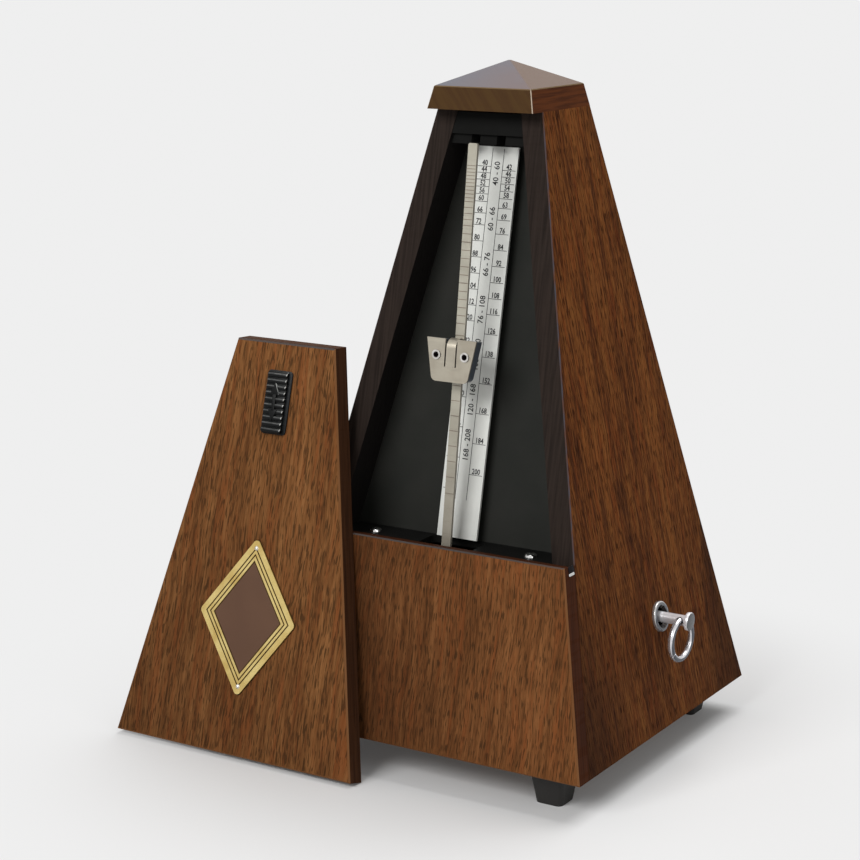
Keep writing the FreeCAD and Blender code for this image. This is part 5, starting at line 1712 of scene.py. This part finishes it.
@dataclass
class Key(Maker):
    """Winding key: a turned stem with a flat head, and a bent wire ring through its cross hole."""

    stem: float = 1.7
    head: float = 2.9
    head_thick: float = 1.35
    collar: float = 2.9
    collar_end: float = -9.8
    rounding: float = 0.35
    cross_hole: float = 1.32
    cross_long: float = 9.0
    square: float = 3.2
    square_deep: float = 5.0
    square_corner: float = 0.2
    square_edge: float = 0.05
    wire: float = 1.02
    ring: float = 6.25
    ring_lift: float = 0.1
    ring_turn: float = -4.0
    butt: float = 2.4
    butt_at: float = 212.0

    def build(self) -> None:
        """Make the key and its ring."""
        pivot = joint_point("key_ring_swing")
        self.key(pivot)
        self.wire_ring(pivot)

    def key(self, pivot: Vector) -> bpy.types.Object:
        """Turn the key, and cut its square socket and its cross hole.

        Args:
            pivot: Middle of the cross hole.

        Returns:
            The key.
        """
        low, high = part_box("winding_key")
        start, end = (low[0] - pivot.x) / MM, (high[0] - pivot.x) / MM
        neck = end - self.head_thick
        outline = ((start, self.collar), (self.collar_end, self.collar),
                   (self.collar_end, self.stem), (neck, self.stem), (neck, self.head),
                   (end, self.head))
        piece = self.bevelled(self.turned(outline), self.rounding, 3)
        socket = self.block((self.square, self.square), (-self.square_deep, self.square_deep),
                            self.square_corner, self.square_edge)
        socket.location = Vector((start, 0, 0)) * MM
        socket.rotation_euler = (0, math.pi / 2, 0)
        piece = self.cut(piece, socket)
        piece = self.cut(piece, self.drill(self.cross_hole, self.cross_long, Vector(), BACKWARD))
        # The head's face carries a nearly black painted reflection.
        finish = KeyMetal("key_bright", srgb(252, 251, 254), srgb(230, 229, 232),
                          slate=srgb(34, 38, 40), rough=0.22, shine=0.45)
        key = self.joined([piece], "turned_key", finish.material(), "winding_key", Slot.KEY)
        self.settle(key, Matrix.Translation(pivot))
        bpy.ops.object.shade_smooth_by_angle(angle=math.radians(28))
        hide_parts("winding_key")
        return key

    def wire_ring(self, pivot: Vector) -> bpy.types.Object:
        """Bend the wire into a ring whose two ends meet.

        Args:
            pivot: Middle of the cross hole.

        Returns:
            The ring.
        """
        bpy.ops.mesh.primitive_circle_add(vertices=20, radius=self.wire * MM,
                                          location=(0, self.ring * MM, 0))
        piece = bpy.context.object
        bpy.ops.object.transform_apply(location=True, rotation=True, scale=True)
        bpy.ops.object.mode_set(mode="EDIT")
        bpy.ops.mesh.select_all(action="SELECT")
        bpy.ops.mesh.spin(steps=96, angle=math.radians(360 - self.butt), center=(0, 0, 0),
                          axis=RIGHT)
        bpy.ops.mesh.select_all(action="SELECT")
        bpy.ops.mesh.fill_holes(sides=0)
        self.outward()
        piece = self.bevelled(piece, 0.2, 2)
        # The ring's turned-away flanks carry a slate painted reflection.
        finish = KeyMetal("ring_bright", srgb(236, 235, 238), srgb(206, 205, 208),
                          slate=srgb(58, 63, 72), rough=0.16, shine=0.75)
        ring = self.joined([piece], "wire_ring", finish.material(), "key_ring", Slot.KEY)
        centre = pivot + Vector((0, 0, self.ring_lift - self.ring)) * MM
        turn = Matrix.Rotation(math.radians(self.ring_turn), 4, "Z") @ Matrix.Rotation(
            math.radians(self.butt_at), 4, "X")
        self.settle(ring, Matrix.Translation(centre) @ turn)
        bpy.ops.object.shade_smooth_by_angle(angle=math.radians(40))
        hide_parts("key_ring")
        return ring


@dataclass
class Cover(Maker):
    """Leaning front cover with its badge and catch."""

    catch_proud: float = 2.45
    catch_edge: float = 0.4
    flange: tuple[float, float] = (0.05, 0.7)
    flange_corner: float = 1.2
    flange_edge: float = 0.12
    overlap: float = 0.1
    thumb_half: float = 3.6
    ribs: int = 10
    rib_top: float = 2.3
    rib_deep: float = 0.6
    rib_gap: float = 0.26
    arrow_half: float = 5.9
    head_long: float = 3.6
    head_half: float = 1.7
    shaft_half: float = 0.55
    stem_half: float = 1.9
    stem_long: float = 7.4
    stem_rise: float = 0.75
    stem_bore: float = 0.82

    def build(self) -> None:
        """Dress the cover."""
        corner = furthest("cover_panel", Vector((-1, 0, -1)).normalized())
        # Painted shade, darker towards the lower left of the cover.
        lower_left = Stain(Vector((0.80, 0, 0.60)), corner, 0.0, 110.0, 0.30)
        slanted = AXES.cover_up * math.cos(AXES.lean) - RIGHT * math.sin(AXES.lean)
        front = Veneer("veneer_cover", AXES.cover, RIGHT, AXES.cover_up, seed=3.5,
                       stains=(lower_left,), edge_across=AXES.cover, edge_up=slanted,
                       edge=srgb(72, 46, 30), edge_dark=srgb(54, 34, 23), inside=srgb(60, 42, 30))
        self.dress(front, "cover_panel")
        self.dress(BadgeBrass(), "badge_plate")
        self.dress(Painted("badge_enamel_brown", srgb(94, 67, 50), srgb(88, 62, 46), 0.4, 0.2),
                   "badge_enamel")
        self.dress(Metal("nail_bright", srgb(226, 222, 212), srgb(205, 200, 190), 0.2),
                   "badge_nails", "catch_screw")
        self.dress(Metal("hook_steel", srgb(150, 148, 144), srgb(122, 120, 116), 0.3),
                   "catch_hook")
        self.thumb_catch()

    def thumb_catch(self) -> bpy.types.Object:
        """Mould the catch: a flange, a row of rounded ribs, a double arrow and the stem behind.

        Returns:
            The catch.
        """
        out, up = AXES.cover, AXES.cover_up
        front = reach_of("catch_slider", out) / MM
        behind = -reach_of("catch_slider", -out) / MM
        top = reach_of("catch_slider", up) / MM
        foot = -reach_of("catch_slider", -up) / MM
        low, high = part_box("catch_slider")
        origin = Vector(((low[0] + high[0]) / 2, 0, 0))
        origin += (up * (top + foot) / 2 + out * (front - self.catch_proud)) * MM
        seat = Seat(origin, RIGHT, up, out)
        width, length = (high[0] - low[0]) / MM, top - foot
        reach = length - 2 * self.catch_edge
        pitch = reach / self.ribs
        floor = self.rib_top - self.rib_deep
        step = self.flange[1] - self.overlap
        pieces = [self.block((width, length), self.flange, self.flange_corner, self.flange_edge),
                  self.block((2 * self.thumb_half, reach), (step, floor), 0.3, 0.1)]
        middle = (self.ribs - 1 + self.rib_gap) / 2
        places = [Matrix.Translation(Vector((0, (number - middle) * pitch, floor)) * MM)
                  for number in range(self.ribs)]
        pieces += self.row(self.rib(pitch * (1 - self.rib_gap), self.rib_deep), places)
        shaft = (2 * self.shaft_half, 2 * (self.arrow_half - self.head_long) + 1.0)
        pieces.append(self.block(shaft, (floor - self.overlap, self.catch_proud), 0.1, 0.1))
        pieces += [self.arrow_head(sign, floor) for sign in (-1, 1)]
        pieces.append(self.stem(behind - (front - self.catch_proud), step))
        catch = self.joined(pieces, "thumb_catch", CatchPlastic().material(), "catch", Slot.CATCH)
        self.settle(catch, seat.matrix(0.0, 0.0))
        bpy.ops.object.shade_smooth_by_angle(angle=math.radians(32))
        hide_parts("catch_slider")
        return catch

    def rib(self, width: float, deep: float) -> bpy.types.Object:
        """Make one rib: a half-round bar with round ends.

        Args:
            width: Millimetres up.
            deep: Millimetres that it stands up.

        Returns:
            The rib, its foot in the middle at the origin.
        """
        bpy.ops.mesh.primitive_cylinder_add(vertices=24, radius=width / 2 * MM,
                                            depth=2 * self.thumb_half * MM,
                                            rotation=(0, math.pi / 2, 0))
        piece = bpy.context.object
        bpy.ops.object.transform_apply(location=False, rotation=True, scale=False)
        piece.scale = (1, 1, deep / (width / 2))
        bpy.ops.object.transform_apply(location=False, rotation=False, scale=True)
        return self.bevelled(piece, 0.30, 3)

    def arrow_head(self, sign: int, floor: float) -> bpy.types.Object:
        """Make one head of the double arrow.

        Args:
            sign: 1 for the upper head, -1 for the lower one.
            floor: Height of the floor between the ribs.

        Returns:
            The head.
        """
        long = self.head_long
        bpy.ops.mesh.primitive_cylinder_add(vertices=3, radius=1.0, depth=1.0)
        piece = bpy.context.object
        piece.scale = Vector((2 * self.head_half / math.sqrt(3), sign * long / 1.5,
                              self.catch_proud - floor + self.overlap)) * MM
        piece.location = Vector((0, sign * (self.arrow_half - long * 2 / 3),
                                 (self.catch_proud + floor - self.overlap) / 2)) * MM
        bpy.ops.object.transform_apply(location=True, rotation=True, scale=True)
        bpy.ops.object.mode_set(mode="EDIT")
        self.outward()
        return self.bevelled(piece, 0.1, 2)

    def stem(self, inner: float, outer: float) -> bpy.types.Object:
        """Make the stem that reaches through the cover, bored for its screw.

        Args:
            inner: Where it ends inwards, in millimetres from the cover's face.
            outer: Where it ends outwards, within the flange.

        Returns:
            The stem.
        """
        piece = self.block((2 * self.stem_half, self.stem_long), (inner, outer), 0.4, 0.08,
                           self.stem_rise)
        start = Vector((0, self.stem_rise, inner - 0.3))
        return self.cut(piece, self.drill(self.stem_bore, -2 * inner, start, UPWARD))


def main() -> None:
    """Build the looks in order."""
    logging.basicConfig(level=logging.INFO, format="%(name)s: %(message)s")
    Studio().build()
    for part in (Case(), TempoScale(), Pendulum(), Movement(), Key(), Cover()):
        part.build()
        LOG.info("%s is done", type(part).__name__)


if __name__ == "__main__":
    main()
